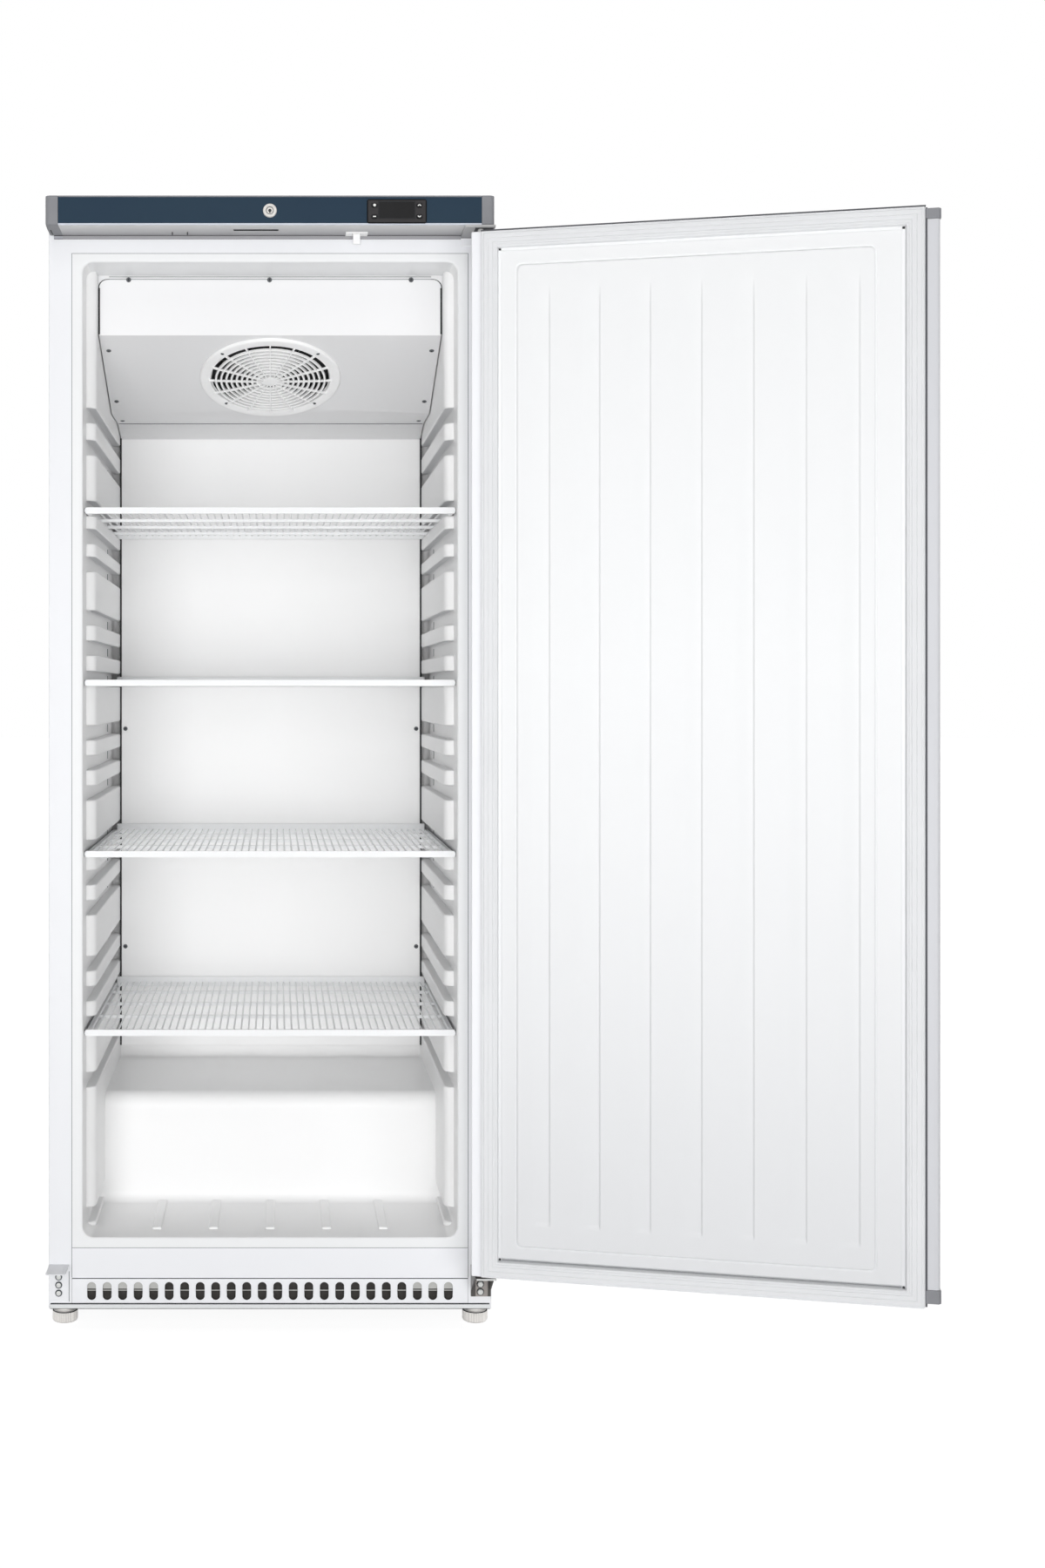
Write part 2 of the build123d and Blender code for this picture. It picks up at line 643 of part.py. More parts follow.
def door_handle():
    """Full-height profile on the free edge, open at the front for the fingers."""
    web = Polyline((LEAF_LEFT, -68), (LEAF_LEFT, -14), (HANDLE_LEFT + 6, -14))
    turn = RadiusArc((HANDLE_LEFT + 6, -14), (HANDLE_LEFT, -20), -6)
    wall = Polyline((HANDLE_LEFT, -20), (HANDLE_LEFT, -54), (HANDLE_LEFT + 3, -54), (HANDLE_LEFT + 3, -20))
    inside = RadiusArc((HANDLE_LEFT + 3, -20), (HANDLE_LEFT + 6, -17), 3)
    rest = Polyline((HANDLE_LEFT + 6, -17), (LEAF_LEFT - 3, -17), (LEAF_LEFT - 3, -68), (LEAF_LEFT, -68))
    return along_z(make_face(web + turn + wall + inside + rest), 153, 1860)


def handle_cap(low, high):
    left = HANDLE_LEFT - 1.5
    plan = outline((LEAF_LEFT, -70), (LEAF_LEFT, -12.5), (left + 4, -12.5), (left, -16.5), (left, -66), (left + 4, -70))
    return along_z(plan, low, high)


def door_top_clips():
    side = outline((-13.5, LEAF_HIGH), (13.5, LEAF_HIGH), (11, LEAF_HIGH + 4), (-11, LEAF_HIGH + 4))
    clips = [along_y(Pos(x, 0) * side, -38, -21) for x in (-147, 147)]
    return group(clips)


def upper_bush():
    bush = rod_z(1864, LEAF_HIGH, HINGE_X, HINGE_Y, RegularPolygon(BUSH_UPPER, 12))
    bush += rod_z(LEAF_HIGH, 1882, HINGE_X, HINGE_Y, RegularPolygon(11, 12))
    return bush - rod_z(1866, 1890, HINGE_X, HINGE_Y, Circle(5.06))


def lower_bush():
    bush = rod_z(LEAF_LOW, 143, HINGE_X, HINGE_Y, RegularPolygon(BUSH_LOWER, 12))
    bush += rod_z(121, LEAF_LOW, HINGE_X, HINGE_Y, RegularPolygon(11, 12))
    return bush - rod_z(110, 141, HINGE_X, HINGE_Y, Circle(6.06))


def lock_strike():
    """Open-topped cup in the top of the leaf that takes the cam."""
    x0, x1 = STRIKE_X
    y0, y1 = STRIKE_Y
    cup = block((x0, x1), (y0, y1), (STRIKE_LOW, LEAF_HIGH))
    return cup - block((x0 + 1.5, x1 - 1.5), (y0 + 1.5, y1 - 1.5), (STRIKE_LOW + 1.5, LEAF_HIGH + 1))


# Shelves

def shelf_grid():
    """Front-to-back wires between the rim's four sides, cut as slots in one plate."""
    low, high = 6, 6 + WIRE
    half = SHELF_WIDTH / 2
    back = SHELF_FRONT + SHELF_DEPTH
    face = rect((-half, SHELF_FRONT), (half, back))
    first = -(WIRE_COUNT - 1) / 2 * WIRE_PITCH
    edges = [first + i * WIRE_PITCH for i in range(WIRE_COUNT)]
    lefts = [-half + RIM] + [x + WIRE / 2 for x in edges]
    rights = [x - WIRE / 2 for x in edges] + [half - RIM]
    face -= [rect((a, SHELF_FRONT + 5), (b, back - 5)) for a, b in zip(lefts, rights)]
    grid = along_z(face, low, high)
    grid += block((-half, half), (SHELF_FRONT, SHELF_FRONT + 5), (0, 10.5))
    side = block((half - RIM, half), (SHELF_FRONT, back), (0, low))
    return grid + side + mirrored(side) + block((-half, half), (back - 5, back), (0, low))


def shelf(level):
    """One shelf: the welded grid, five cross bars under it and the upstand bar at the back."""
    half = SHELF_WIDTH / 2 - RIM
    spacing = 105
    bars = [block((-half, half), (y - 2.5, y + 2.5), (1, 6)) for y in
            [SHELF_FRONT + SHELF_DEPTH / 2 + spacing * i for i in range(-2, 3)]]
    back = SHELF_FRONT + SHELF_DEPTH
    upstand = block((-half, half), (back - 5, back), (6 + WIRE, 20))
    return Pos(0, 0, level) * group([shelf_grid(), upstand] + bars)


CABINET = {
    "outer_shell": outer_shell(),
    "rear_panel": block((-384, 384), (DEPTH - SHEET, DEPTH), (BAY_TOP - SHEET, TOP - SHEET)),
    "cabinet_insulation": insulation(),
    "inner_liner": inner_liner(),
    "bay_panel": bay_panel(),
    "lower_cross_rail": lower_cross_rail(),
    "kick_grille": kick_grille(),
    "base_frame": base_frame(),
    "roller_brackets": group([roller_bracket(-ROLLER_X), roller_bracket(ROLLER_X)]),
    "rear_roller_left": roller(-ROLLER_X),
    "rear_roller_right": roller(ROLLER_X),
    "front_foot_left": foot(-FOOT_X),
    "front_foot_right": foot(FOOT_X),
    "evaporator_cover": evaporator_cover(),
    "back_duct_panel": back_duct_panel(),
    "evaporator_coil": evaporator_coil(),
    "fan_grille": fan_grille(),
    "fan_shroud": fan_shroud(),
    "fan_motor": fan_motor(),
    "fan_blades": fan_blades(),
    "header_housing": header_housing(),
    "header_fascia": header_fascia(),
    "header_end_caps": group([end_cap(), mirrored(end_cap())]),
    "controller_housing": controller_housing(),
    "display_window": display_window(),
    "lock_housing": lock_housing(),
    "lock_barrel": lock_barrel(),
    "lock_cam": lock_cam(),
    "door_switch_body": door_switch_body(),
    "switch_lever": switch_lever(),
    "lower_hinge_bracket": lower_hinge_bracket(),
    "upper_hinge_bracket": upper_hinge_bracket(),
    "hinge_pins_and_bolts": hinge_pins_and_bolts(),
    "left_corner_bracket": left_corner_bracket(),
    "compressor": compressor(),
    "compressor_mounts": compressor_mounts(),
    "condenser_coil": condenser_coil(),
    "condenser_shroud": condenser_shroud(),
    "condenser_fan_motor": condenser_fan_motor(),
    "condenser_fan_blades": condenser_fan_blades(),
    "drip_tray": drip_tray(),
    "electrical_box": electrical_box(),
    "refrigerant_pipes": group([suction_pipe(), discharge_pipe()]),
}
DOOR = {
    "door_outer_skin": door_outer_skin(),
    "door_insulation": door_insulation(),
    "door_inner_panel": door_inner_panel(),
    "door_gasket": door_gasket(),
    "door_handle": door_handle(),
    "handle_caps": group([handle_cap(131, 153), handle_cap(1860, 1877)]),
    "door_top_clips": door_top_clips(),
    "hinge_bushes": group([upper_bush(), lower_bush()]),
    "lock_strike": lock_strike(),
}

for name, shape in CABINET.items():
    write(name, shape)
for name, (dx, dz) in BUTTONS.items():
    write(name, button(dx, dz))
for number, level in enumerate(SHELF_FLOORS, 1):
    write(f"wire_shelf_{number}", shelf(level))
for name, shape in DOOR.items():
    write(name, opened(shape))
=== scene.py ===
import json
import math

import bmesh
import bpy
from mathutils import Matrix, Vector

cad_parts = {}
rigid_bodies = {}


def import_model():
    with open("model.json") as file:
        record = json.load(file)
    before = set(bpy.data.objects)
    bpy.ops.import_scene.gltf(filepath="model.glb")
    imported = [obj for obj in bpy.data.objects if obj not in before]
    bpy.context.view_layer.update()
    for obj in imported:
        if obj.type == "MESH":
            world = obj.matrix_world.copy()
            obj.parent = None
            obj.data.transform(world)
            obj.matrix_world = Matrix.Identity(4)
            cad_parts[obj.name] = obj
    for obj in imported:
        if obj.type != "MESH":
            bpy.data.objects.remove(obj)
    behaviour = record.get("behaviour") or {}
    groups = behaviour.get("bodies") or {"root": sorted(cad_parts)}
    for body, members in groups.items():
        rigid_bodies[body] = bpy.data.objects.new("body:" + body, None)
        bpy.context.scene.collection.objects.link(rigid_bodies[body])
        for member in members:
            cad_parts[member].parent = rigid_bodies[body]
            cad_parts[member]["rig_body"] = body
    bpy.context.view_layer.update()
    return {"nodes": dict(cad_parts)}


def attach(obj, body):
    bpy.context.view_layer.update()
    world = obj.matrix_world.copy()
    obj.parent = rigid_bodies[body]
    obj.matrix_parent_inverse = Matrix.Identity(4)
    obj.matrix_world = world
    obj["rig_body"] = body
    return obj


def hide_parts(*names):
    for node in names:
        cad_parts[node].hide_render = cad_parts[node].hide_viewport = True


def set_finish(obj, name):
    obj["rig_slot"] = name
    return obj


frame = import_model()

# Cabinet shell. White powder-coated sheet steel, one millimetre thick, folded to the two sides and the top.
# The front edges are turned in as flanges round the door opening and the top one hangs down as a rail.

SHELL_HALF, SHELL_BACK, SHELL_TOP, SHELL_FOOT = 385, 620, 1948, 33
OPENING_HALF, RAIL_LOW, RAIL_FOOT = 345, 1869, 139
FOLD_RADIUS = 2


def mm(x, y, z):
    """A point in mm, with y measured inwards from the cabinet's front plane."""
    return Vector((x, y - SHELL_BACK / 2, z)) / 1000


def tone(red, green, blue):
    """A screen colour of 0 to 255 as the opaque linear colour that a shader takes."""
    parts = [value / 255 for value in (red, green, blue)]
    return [part / 12.92 if part <= 0.04045 else ((part + 0.055) / 1.055) ** 2.4 for part in parts] + [1]


class Number:
    """A shader socket that Python operators turn into Math nodes."""

    def __init__(self, finish, socket):
        self.finish, self.socket = finish, socket

    def maths(self, operation, first, second):
        return self.finish.node("ShaderNodeMath", {"operation": operation}, {0: first, 1: second})

    def __add__(self, other):
        return self.maths("ADD", self, other)

    def __sub__(self, other):
        return self.maths("SUBTRACT", self, other)

    def __mul__(self, other):
        return self.maths("MULTIPLY", self, other)

    def __gt__(self, other):
        return self.maths("GREATER_THAN", self, other)


class Finish:
    """A Principled material: fixed sockets by name, and methods for what varies over a piece."""

    def __init__(self, name, colour, roughness, **fixed):
        self.material = bpy.data.materials.new(name)
        self.material.use_nodes = True
        self.tree = self.material.node_tree
        self.shader = self.tree.nodes["Principled BSDF"]
        self.colour = tone(*colour)
        self.feed("Base Color", self.colour)
        self.feed("Roughness", roughness)
        for socket, value in fixed.items():
            self.feed(socket.replace("_", " "), value)

    def join(self, value, socket):
        if isinstance(value, Number):
            self.tree.links.new(value.socket, socket)
        else:
            socket.default_value = value

    def feed(self, socket, value):
        """Gives one of the shader's sockets a number, a colour or a pattern."""
        self.join(value, self.shader.inputs[socket])

    def node(self, kind, settings=None, inputs=None, output=0):
        """Any other node, with its settings and inputs by name."""
        made = self.tree.nodes.new(kind)
        for name, value in (settings or {}).items():
            setattr(made, name, value)
        for name, value in (inputs or {}).items():
            self.join(value, made.inputs[name])
        return Number(self, made.outputs[output])

    def where(self, stretch=(1, 1, 1)):
        """Object coordinates in metres, multiplied along each axis."""
        place = self.node("ShaderNodeTexCoord", output="Object")
        return self.node("ShaderNodeMapping", inputs={"Vector": place, "Scale": stretch})

    def axis(self, name):
        return self.node("ShaderNodeSeparateXYZ", inputs={"Vector": self.where()}, output=name)

    def noise(self, scale, detail, stretch=(1, 1, 1)):
        inputs = {"Vector": self.where(stretch), "Scale": scale, "Detail": detail}
        return self.node("ShaderNodeTexNoise", inputs=inputs)

    def blend(self, factor, first, second):
        settings = {"data_type": "RGBA", "clamp_factor": True}
        return self.node("ShaderNodeMix", settings, {0: factor, 6: first, 7: second}, 2)

    def shade(self, share):
        """The base colour made lighter or darker."""
        return [min(1.0, part * share) for part in self.colour[:3]] + [1]

    def mottle(self, amount, scale):
        """Slow drift of the colour about its own value, as between one part of a coat and the next."""
        drift = self.noise(scale, 3.0) * 2 - 0.5
        self.feed("Base Color", self.blend(drift, self.shade(1 - amount), self.shade(1 + amount)))
        return self

    def polish(self, low, high, scale, stretch=(1, 1, 1)):
        """Roughness that drifts between two values."""
        self.feed("Roughness", self.noise(scale, 4.0, stretch) * (high - low) + low)
        return self

    def bump(self, height, depth):
        """Relief in mm after a pattern of height."""
        inputs = {"Height": height, "Distance": depth / 1000, "Strength": 1.0}
        self.feed("Normal", self.node("ShaderNodeBump", inputs=inputs))
        return self

    def grain(self, size, depth, stretch=(1, 1, 1)):
        """Fine relief with bumps of a size and depth in mm."""
        return self.bump(self.noise(1000 / size, 1.0, stretch), depth)


def brick(bm, low, high, edge=0.0, steps=2):
    """A box from its low to its high corner in mm, with every edge rounded."""
    low, high = mm(*low), mm(*high)
    place = Matrix.Translation((low + high) / 2) @ Matrix.Diagonal((*(high - low), 1))
    made = bmesh.ops.create_cube(bm, size=1, matrix=place)["verts"]
    if edge:
        rounded(bm, list({e for v in made for e in v.link_edges}), edge, steps)
    return made


def rounded(bm, edges, radius, steps):
    """Rounds edges by a radius in mm."""
    return bmesh.ops.bevel(bm, geom=edges, offset=radius / 1000, segments=steps, profile=0.5,
                           affect="EDGES", material=-1, clamp_overlap=True)


def cut(bm, spot, normal):
    """Adds the edges where a plane crosses the whole shape."""
    geom = bm.verts[:] + bm.edges[:] + bm.faces[:]
    bmesh.ops.bisect_plane(bm, geom=geom, dist=1e-6, plane_co=spot, plane_no=normal)


def drop(bm, test):
    """Deletes the faces whose middle passes the test."""
    gone = [face for face in bm.faces if test(face.calc_center_median())]
    bmesh.ops.delete(bm, geom=gone, context="FACES")


def mirrored(bm, low, high, edge=0.0):
    """A box and its mirror image on the other side of the middle."""
    brick(bm, low, high, edge)
    brick(bm, (-high[0], *low[1:]), (-low[0], *high[1:]), edge)


def piece(name, bm, finish, body, slot, *nodes, soft=35):
    """Turns the shape into an object, smooth over edges below the angle, that rides on a body."""
    mesh = bpy.data.meshes.new(name)
    bm.to_mesh(mesh)
    bm.free()
    mesh.materials.append(finish.material)
    mesh.polygons.foreach_set("use_smooth", [True] * len(mesh.polygons))
    mesh.set_sharp_from_angle(angle=math.radians(soft))
    made = bpy.data.objects.new(name, mesh)
    bpy.context.scene.collection.objects.link(made)
    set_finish(made, slot)
    if nodes:
        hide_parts(*nodes)
    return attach(made, body)


def blocks(name, finish, body, slot, boxes, *nodes):
    """A piece of boxes only, each given as its low corner, its high corner and the radius of its edges."""
    bm = bmesh.new()
    for box in boxes:
        brick(bm, *box)
    return piece(name, bm, finish, body, slot, *nodes)


def thicken(made, thickness):
    """Gives a sheet its wall in mm, behind the side that its normals face."""
    wall = made.modifiers.new("wall", "SOLIDIFY")
    wall.thickness, wall.offset, wall.use_even_offset = thickness / 1000, -1, True


coat = Finish("white_powder_coat", (240, 241, 244), 0.42, Coat_Weight=0.12, Coat_Roughness=0.25)
coat.mottle(0.012, 1.6).polish(0.38, 0.48, 9).grain(1.6, 0.012)

bm = bmesh.new()
brick(bm, (-SHELL_HALF, 0, SHELL_FOOT), (SHELL_HALF, SHELL_BACK, SHELL_TOP))
back, foot = mm(0, SHELL_BACK, 0).y - 1e-4, mm(0, 0, SHELL_FOOT).z + 1e-4
folds = [e for e in bm.edges if min(v.co.y for v in e.verts) < back and max(v.co.z for v in e.verts) > foot]
rounded(bm, folds, FOLD_RADIUS, 3)
for side in (-OPENING_HALF, OPENING_HALF):
    cut(bm, mm(side, 0, 0), (1, 0, 0))
cut(bm, mm(0, 0, RAIL_LOW), (0, 0, 1))
front, half, rail = mm(0, 1, 0).y, OPENING_HALF / 1000, RAIL_LOW / 1000
drop(bm, lambda c: c.y > back or c.z < foot or (c.y < front and abs(c.x) < half and c.z < rail))
thicken(piece("cabinet_shell", bm, coat, "cabinet", "white_steel", "outer_shell"), 1)

# Rear panel. Galvanised sheet steel closes the foam space behind the compartment.
# It is held by a row of flat-headed screws down each side and along its top and bottom edges.

REAR_HALF, REAR_LOW, REAR_HIGH = 384, 315, 1947
REAR_FACE = 619.4
REAR_SCREW_X, REAR_SCREW_LOW, REAR_SCREW_HIGH = 375, 330, 1930

zinc = Finish("galvanised_sheet", (172, 176, 180), 0.4, Metallic=0.85)
zinc.mottle(0.08, 35).polish(0.32, 0.5, 60).grain(6, 0.02)
bright = Finish("zinc_screws", (190, 190, 188), 0.3, Metallic=1.0).polish(0.22, 0.4, 400).mottle(0.05, 300)
# Painted shade: this near-black grey is laid on small pieces where only shade falls, in screw recesses,
# slots, a keyhole, narrow gaps and groove corners.
recess = Finish("painted_recess_shade", (46, 47, 49), 0.6).mottle(0.1, 500)


def rod(bm, start, end, radius, sides=16, tip=None):
    """A round bar between two points in mm, tapered where the tip has its own radius."""
    start, end = mm(*start), mm(*end)
    along = end - start
    turn = along.to_track_quat("Z", "Y").to_matrix().to_4x4()
    place = Matrix.Translation((start + end) / 2) @ turn
    radii = {"radius1": radius / 1000, "radius2": (radius if tip is None else tip) / 1000}
    return bmesh.ops.create_cone(bm, cap_ends=True, cap_tris=False, segments=sides, depth=along.length,
                                 matrix=place, **radii)["verts"]


class Screws:
    """Heads and cross recesses of one group of like screws, each head standing on its spot. The crosses are
    dark grey, as painted shade in the recesses.
    """

    def __init__(self, radius, height):
        self.radius, self.height = radius, height
        self.heads, self.crosses = bmesh.new(), bmesh.new()

    def add(self, spot, out):
        """A head on a spot in mm, facing along a unit direction."""
        spot, out = Vector(spot), Vector(out)
        neck, top = spot + out * self.height * 0.4, spot + out * self.height
        rod(self.heads, spot, neck, self.radius)
        rod(self.heads, neck, top, self.radius, tip=self.radius * 0.6)
        for turn in (0, 90):
            place = Matrix.Translation(mm(*top)) @ out.to_track_quat("Z", "Y").to_matrix().to_4x4()
            place @= Matrix.Rotation(math.radians(turn), 4, "Z")
            size = Vector((self.radius * 1.05, self.radius * 0.28, self.height * 0.08)) / 1000
            bmesh.ops.create_cube(self.crosses, size=1, matrix=place @ Matrix.Diagonal((*size, 1)))

    def fix(self, name, body, finish=None):
        """Makes the group's two pieces: heads of bright zinc unless told otherwise, and crosses in the dark
        grey of painted shade.
        """
        piece(name, self.heads, finish or bright, body, "zinc_steel", soft=30)
        piece(name + "_recesses", self.crosses, recess, body, "black_plastic")


blocks("rear_sheet", zinc, "cabinet", "galvanised",
       [((-REAR_HALF, REAR_FACE - 0.5, REAR_LOW), (REAR_HALF, REAR_FACE, REAR_HIGH))], "rear_panel")
screws = Screws(4.5, 0.5)
for side in (-1, 1):
    for step in range(9):
        screws.add((side * REAR_SCREW_X, REAR_FACE, REAR_SCREW_LOW + step * 200), (0, 1, 0))
for step in range(1, 5):
    for level in (REAR_SCREW_LOW, REAR_SCREW_HIGH):
        screws.add((-REAR_SCREW_X + step * 150, REAR_FACE, level), (0, 1, 0))
screws.fix("rear_screws", "cabinet")

# Foam. Rigid polyurethane is blown in between shell and liner, and into the door, and sets to both.
# It shows only where a panel is open, as a pale yellow skin with fine cells.

foam = Finish("insulating_foam", (231, 214, 160), 0.9).mottle(0.08, 20).grain(0.8, 0.2)


def coated(node, finish):
    """Gives a CAD node that stays in view its own finish."""
    slots = frame["nodes"][node].data.materials
    slots.clear()
    slots.append(finish.material)


coated("cabinet_insulation", foam)
coated("door_insulation", foam)

# Liner. One vacuum-formed sheet of white plastic makes the walls, the floor and the step over the
# machine bay. Its mouth is rolled outwards to a flat rim that is gripped behind the shell's flanges.

LINER_HALF, LINER_FLOOR, LINER_CEILING, LINER_BACK = 326, 157, 1854, 575
STEP_FRONT, STEP_TOP, STEP_RADIUS = 225, 357, 28
MOUTH, MOUTH_RADIUS = 4, 18
RIM_HALF = 344.5

liner = Finish("white_liner", (250, 250, 250), 0.32, Coat_Weight=0.1, Coat_Roughness=0.2)
liner.polish(0.28, 0.38, 6).grain(2.4, 0.008)
# Painted shade: the rim at the mouth and a 3 mm strip under the ceiling take a darker grey than the rest of
# this one white sheet.
height = liner.axis("Z")
shaded = (liner.axis("Y") > mm(0, 1.2, 0).y) - (height > LINER_CEILING / 1000 - 0.003)
liner.feed("Base Color", liner.blend(shaded, tone(240, 241, 242), liner.colour))


def points(made):
    """The vertices among what an extrusion gives back."""
    return [part for part in made["geom"] if isinstance(part, bmesh.types.BMVert)]


def extruded(bm, outline, start, end):
    """A side view of (y, z) points in mm, drawn at one x and extruded to another."""
    side = bm.faces.new([bm.verts.new(mm(start, y, z)) for y, z in outline])
    for vert in points(bmesh.ops.extrude_face_region(bm, geom=[side])):
        vert.co.x = end / 1000


bm = bmesh.new()
extruded(bm, [(MOUTH, LINER_FLOOR), (STEP_FRONT, LINER_FLOOR), (STEP_FRONT, STEP_TOP), (LINER_BACK, STEP_TOP),
              (LINER_BACK, LINER_CEILING), (MOUTH, LINER_CEILING)], -LINER_HALF, LINER_HALF)
crest = mm(0, STEP_FRONT, STEP_TOP)
rounded(bm, [e for e in bm.edges if all((v.co - crest).yz.length < 1e-5 for v in e.verts)], STEP_RADIUS, 7)
mouth = mm(0, MOUTH, 0).y + 1e-5
bm.normal_update()
folds = [e for e in bm.edges if max(v.co.y for v in e.verts) > mouth and e.calc_face_angle(0) > 0.6]
rounded(bm, folds, MOUTH_RADIUS, 6)
bmesh.ops.recalc_face_normals(bm, faces=bm.faces)
bmesh.ops.delete(bm, geom=[f for f in bm.faces if f.calc_center_median().y < mouth], context="FACES_ONLY")
bmesh.ops.reverse_faces(bm, faces=bm.faces)


def rim(vert, spread, y):
    """Where a point of the mouth goes when it is spread in its own plane, or out to the rim's corners."""
    centre = Vector((LINER_HALF - MOUTH_RADIUS, LINER_CEILING - MOUTH_RADIUS)) / 1000
    low = (LINER_FLOOR + MOUTH_RADIUS) / 1000
    x, z = min(max(vert.co.x, -centre.x), centre.x), min(max(vert.co.z, low), centre.y)
    out = Vector((vert.co.x - x, vert.co.z - z)).normalized()
    if spread is None:
        out = out / max(abs(out.x), abs(out.y)) * (RIM_HALF + MOUTH_RADIUS - LINER_HALF) / 1000
        x, z = x + out.x, min(max(z + out.y, RAIL_FOOT / 1000), RAIL_LOW / 1000)
    else:
        x, z = x + out.x * (MOUTH_RADIUS + spread) / 1000, z + out.y * (MOUTH_RADIUS + spread) / 1000
    return Vector((x, mm(0, y, 0).y, z))


ring = [e for e in bm.edges if e.is_boundary]
for spread, y in ((0.4, 2), (1.6, 0.7), (3.5, 0), (None, 0), (None, 2)):
    made = bmesh.ops.extrude_edge_only(bm, edges=ring)
    ring = [e for e in made["geom"] if isinstance(e, bmesh.types.BMEdge)]
    for vert in points(made):
        vert.co = rim(vert, spread, y)
thicken(piece("liner_shell", bm, liner, "cabinet", "white_liner", "inner_liner", soft=60), 2)

# Painted shadow: this mid grey is laid in thin strips where a narrow gap lies in shade, here round the
# liner's rim against the shell's flanges and along the top and bottom rails.
seam_shadow_grey = Finish("seam_shadow", (150, 152, 154), 0.7).mottle(0.06, 30)
bm = bmesh.new()
mirrored(bm, (RIM_HALF - 0.2, -0.12, 87), (RIM_HALF + 1, 1, RAIL_LOW + 0.6))
for level in (RAIL_LOW + 0.1, RAIL_FOOT - 0.2):
    brick(bm, (-RIM_HALF, -0.12, level - 0.5), (RIM_HALF, 1, level + 0.5))
piece("rim_seams", bm, seam_shadow_grey, "cabinet", "grey_plastic")

# Shelf runners. Pads formed in both side walls stand 17 mm proud, and the gaps between them carry the
# shelves. Each has a rounded nose, and every gap but the lowest has a small locating slit near the back,
# drawn as a dark grey strip on the wall: painted shade.

PAD_FRONT, PAD_BACK, PAD_HALF, PAD_NOSE = 60, 577, 308.7, 17
GAP = 26
GAP_GROUPS = ((165.5, 1, 0), (405, 1, 0), (504, 3, 53.5), (710, 3, 53.5),
              (914, 3, 53.3), (1117, 3, 54), (1320, 3, 49.5), (1527, 2, 57))
gaps = [low + i * pitch for low, count, pitch in GAP_GROUPS for i in range(count)]

runner_white = Finish("runner_white", (250, 250, 250), 0.34)
# Painted shade: runner faces that point downwards take a grey darker than the runners' white.
normal = runner_white.node("ShaderNodeNewGeometry", output="Normal")
downwards = runner_white.node("ShaderNodeSeparateXYZ", inputs={"Vector": normal}, output="Z") * -1 > 0.9
runner_white.feed("Base Color", runner_white.blend(downwards, runner_white.colour, tone(216, 217, 219)))
runner_white.polish(0.3, 0.4, 6).grain(2.4, 0.008)

bm = bmesh.new()
outer, in_step = LINER_HALF + 1.5, STEP_FRONT + 9
for low, high in zip([LINER_FLOOR - 1] + [z + GAP for z in gaps], gaps + [LINER_CEILING + 1]):
    back = in_step if high < STEP_TOP else PAD_BACK
    outline = [(PAD_FRONT, low), (back, low), (back, high), (PAD_FRONT, high)]
    if low < STEP_TOP < high:
        outline[1:2] = [(in_step, low), (in_step, STEP_TOP - 6), (PAD_BACK, STEP_TOP - 6)]
    extruded(bm, outline, outer, PAD_HALF)
bmesh.ops.recalc_face_normals(bm, faces=bm.faces)
nose = mm(0, PAD_FRONT, 0).y + 1e-5
inner = (outer - 0.1) / 1000
rounded(bm, [e for e in bm.edges if all(v.co.y < nose and v.co.x < inner for v in e.verts)], PAD_NOSE, 6)
bm.normal_update()
rims = [e for e in bm.edges if e.calc_face_angle(0) > 0.7 and min(v.co.x for v in e.verts) < inner]
rounded(bm, rims, 3.2, 3)
bm.normal_update()
under = [f for f in bm.faces if f.normal.z < -0.99 and f.calc_area() > 0.004]
bmesh.ops.inset_individual(bm, faces=under, thickness=0.003, depth=0)
bmesh.ops.inset_individual(bm, faces=under, thickness=0.0003, depth=-0.0012)
bmesh.ops.mirror(bm, geom=bm.verts[:] + bm.edges[:] + bm.faces[:], axis="X", merge_dist=0)
bmesh.ops.recalc_face_normals(bm, faces=bm.faces)
piece("shelf_runners", bm, runner_white, "cabinet", "white_liner", soft=50)

# Painted shade: each slit is a dark grey strip laid flush on the wall.
slit = Finish("runner_slit_shades", (128, 131, 134), 0.6).mottle(0.05, 300)
bm = bmesh.new()
for low in gaps[1:]:
    mirrored(bm, (LINER_HALF - 1.1, 453.5, low + 6), (LINER_HALF - 0.3, 456.5, low + GAP - 5))
piece("runner_slit_marks", bm, slit, "cabinet", "grey_plastic")

# Floor ribs. Five long ribs formed in the liner's floor stiffen it and keep goods out of any spilt water.
# They run from the step to a rounded end near the mouth.

RIB_HALF, RIB_END, RIB_PITCH = 8.5, 47, 100

bm = bmesh.new()
for x in [step * RIB_PITCH for step in range(-2, 3)]:
    low, high = (x - RIB_HALF, RIB_END, LINER_FLOOR - 2), (x + RIB_HALF, STEP_FRONT + 2, LINER_FLOOR + 4)
    brick(bm, low, high, 3.4, 3)
piece("floor_ribs", bm, liner, "cabinet", "white_liner", soft=60)

# Front plates under the door opening. The cross rail and the ventilated kick plate are white-coated steel
# strips that close the front between the side flanges. The kick plate has one row of upright slots.


def dressed(node, finish, slot, edge, steps=2):
    """A copy of a CAD node's mesh with its triangles merged and its edges broken by a radius in mm."""
    bm = bmesh.new()
    bm.from_mesh(frame["nodes"][node].data)
    bmesh.ops.remove_doubles(bm, verts=bm.verts, dist=1e-6)
    bmesh.ops.dissolve_limit(bm, angle_limit=math.radians(1), verts=bm.verts, edges=bm.edges)
    made = piece("dressed_" + node, bm, finish, frame["nodes"][node]["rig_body"], slot, node)
    soften = made.modifiers.new("edge", "BEVEL")
    soften.width, soften.segments = edge / 1000, steps
    soften.limit_method, soften.angle_limit = "ANGLE", math.radians(35)


def lying(spot, axis="X"):
    """A place in mm turned a right angle, so that its z axis points forwards, or sideways about y."""
    return Matrix.Translation(mm(*spot)) @ Matrix.Rotation(math.radians(90), 4, axis)


KICK_LOW, KICK_HIGH, SLOT_PITCH, SLOT_HALF, SLOT_STRAIGHT = 42, 85, 27, 7.8, 7.9
SLOT_COUNT = 24

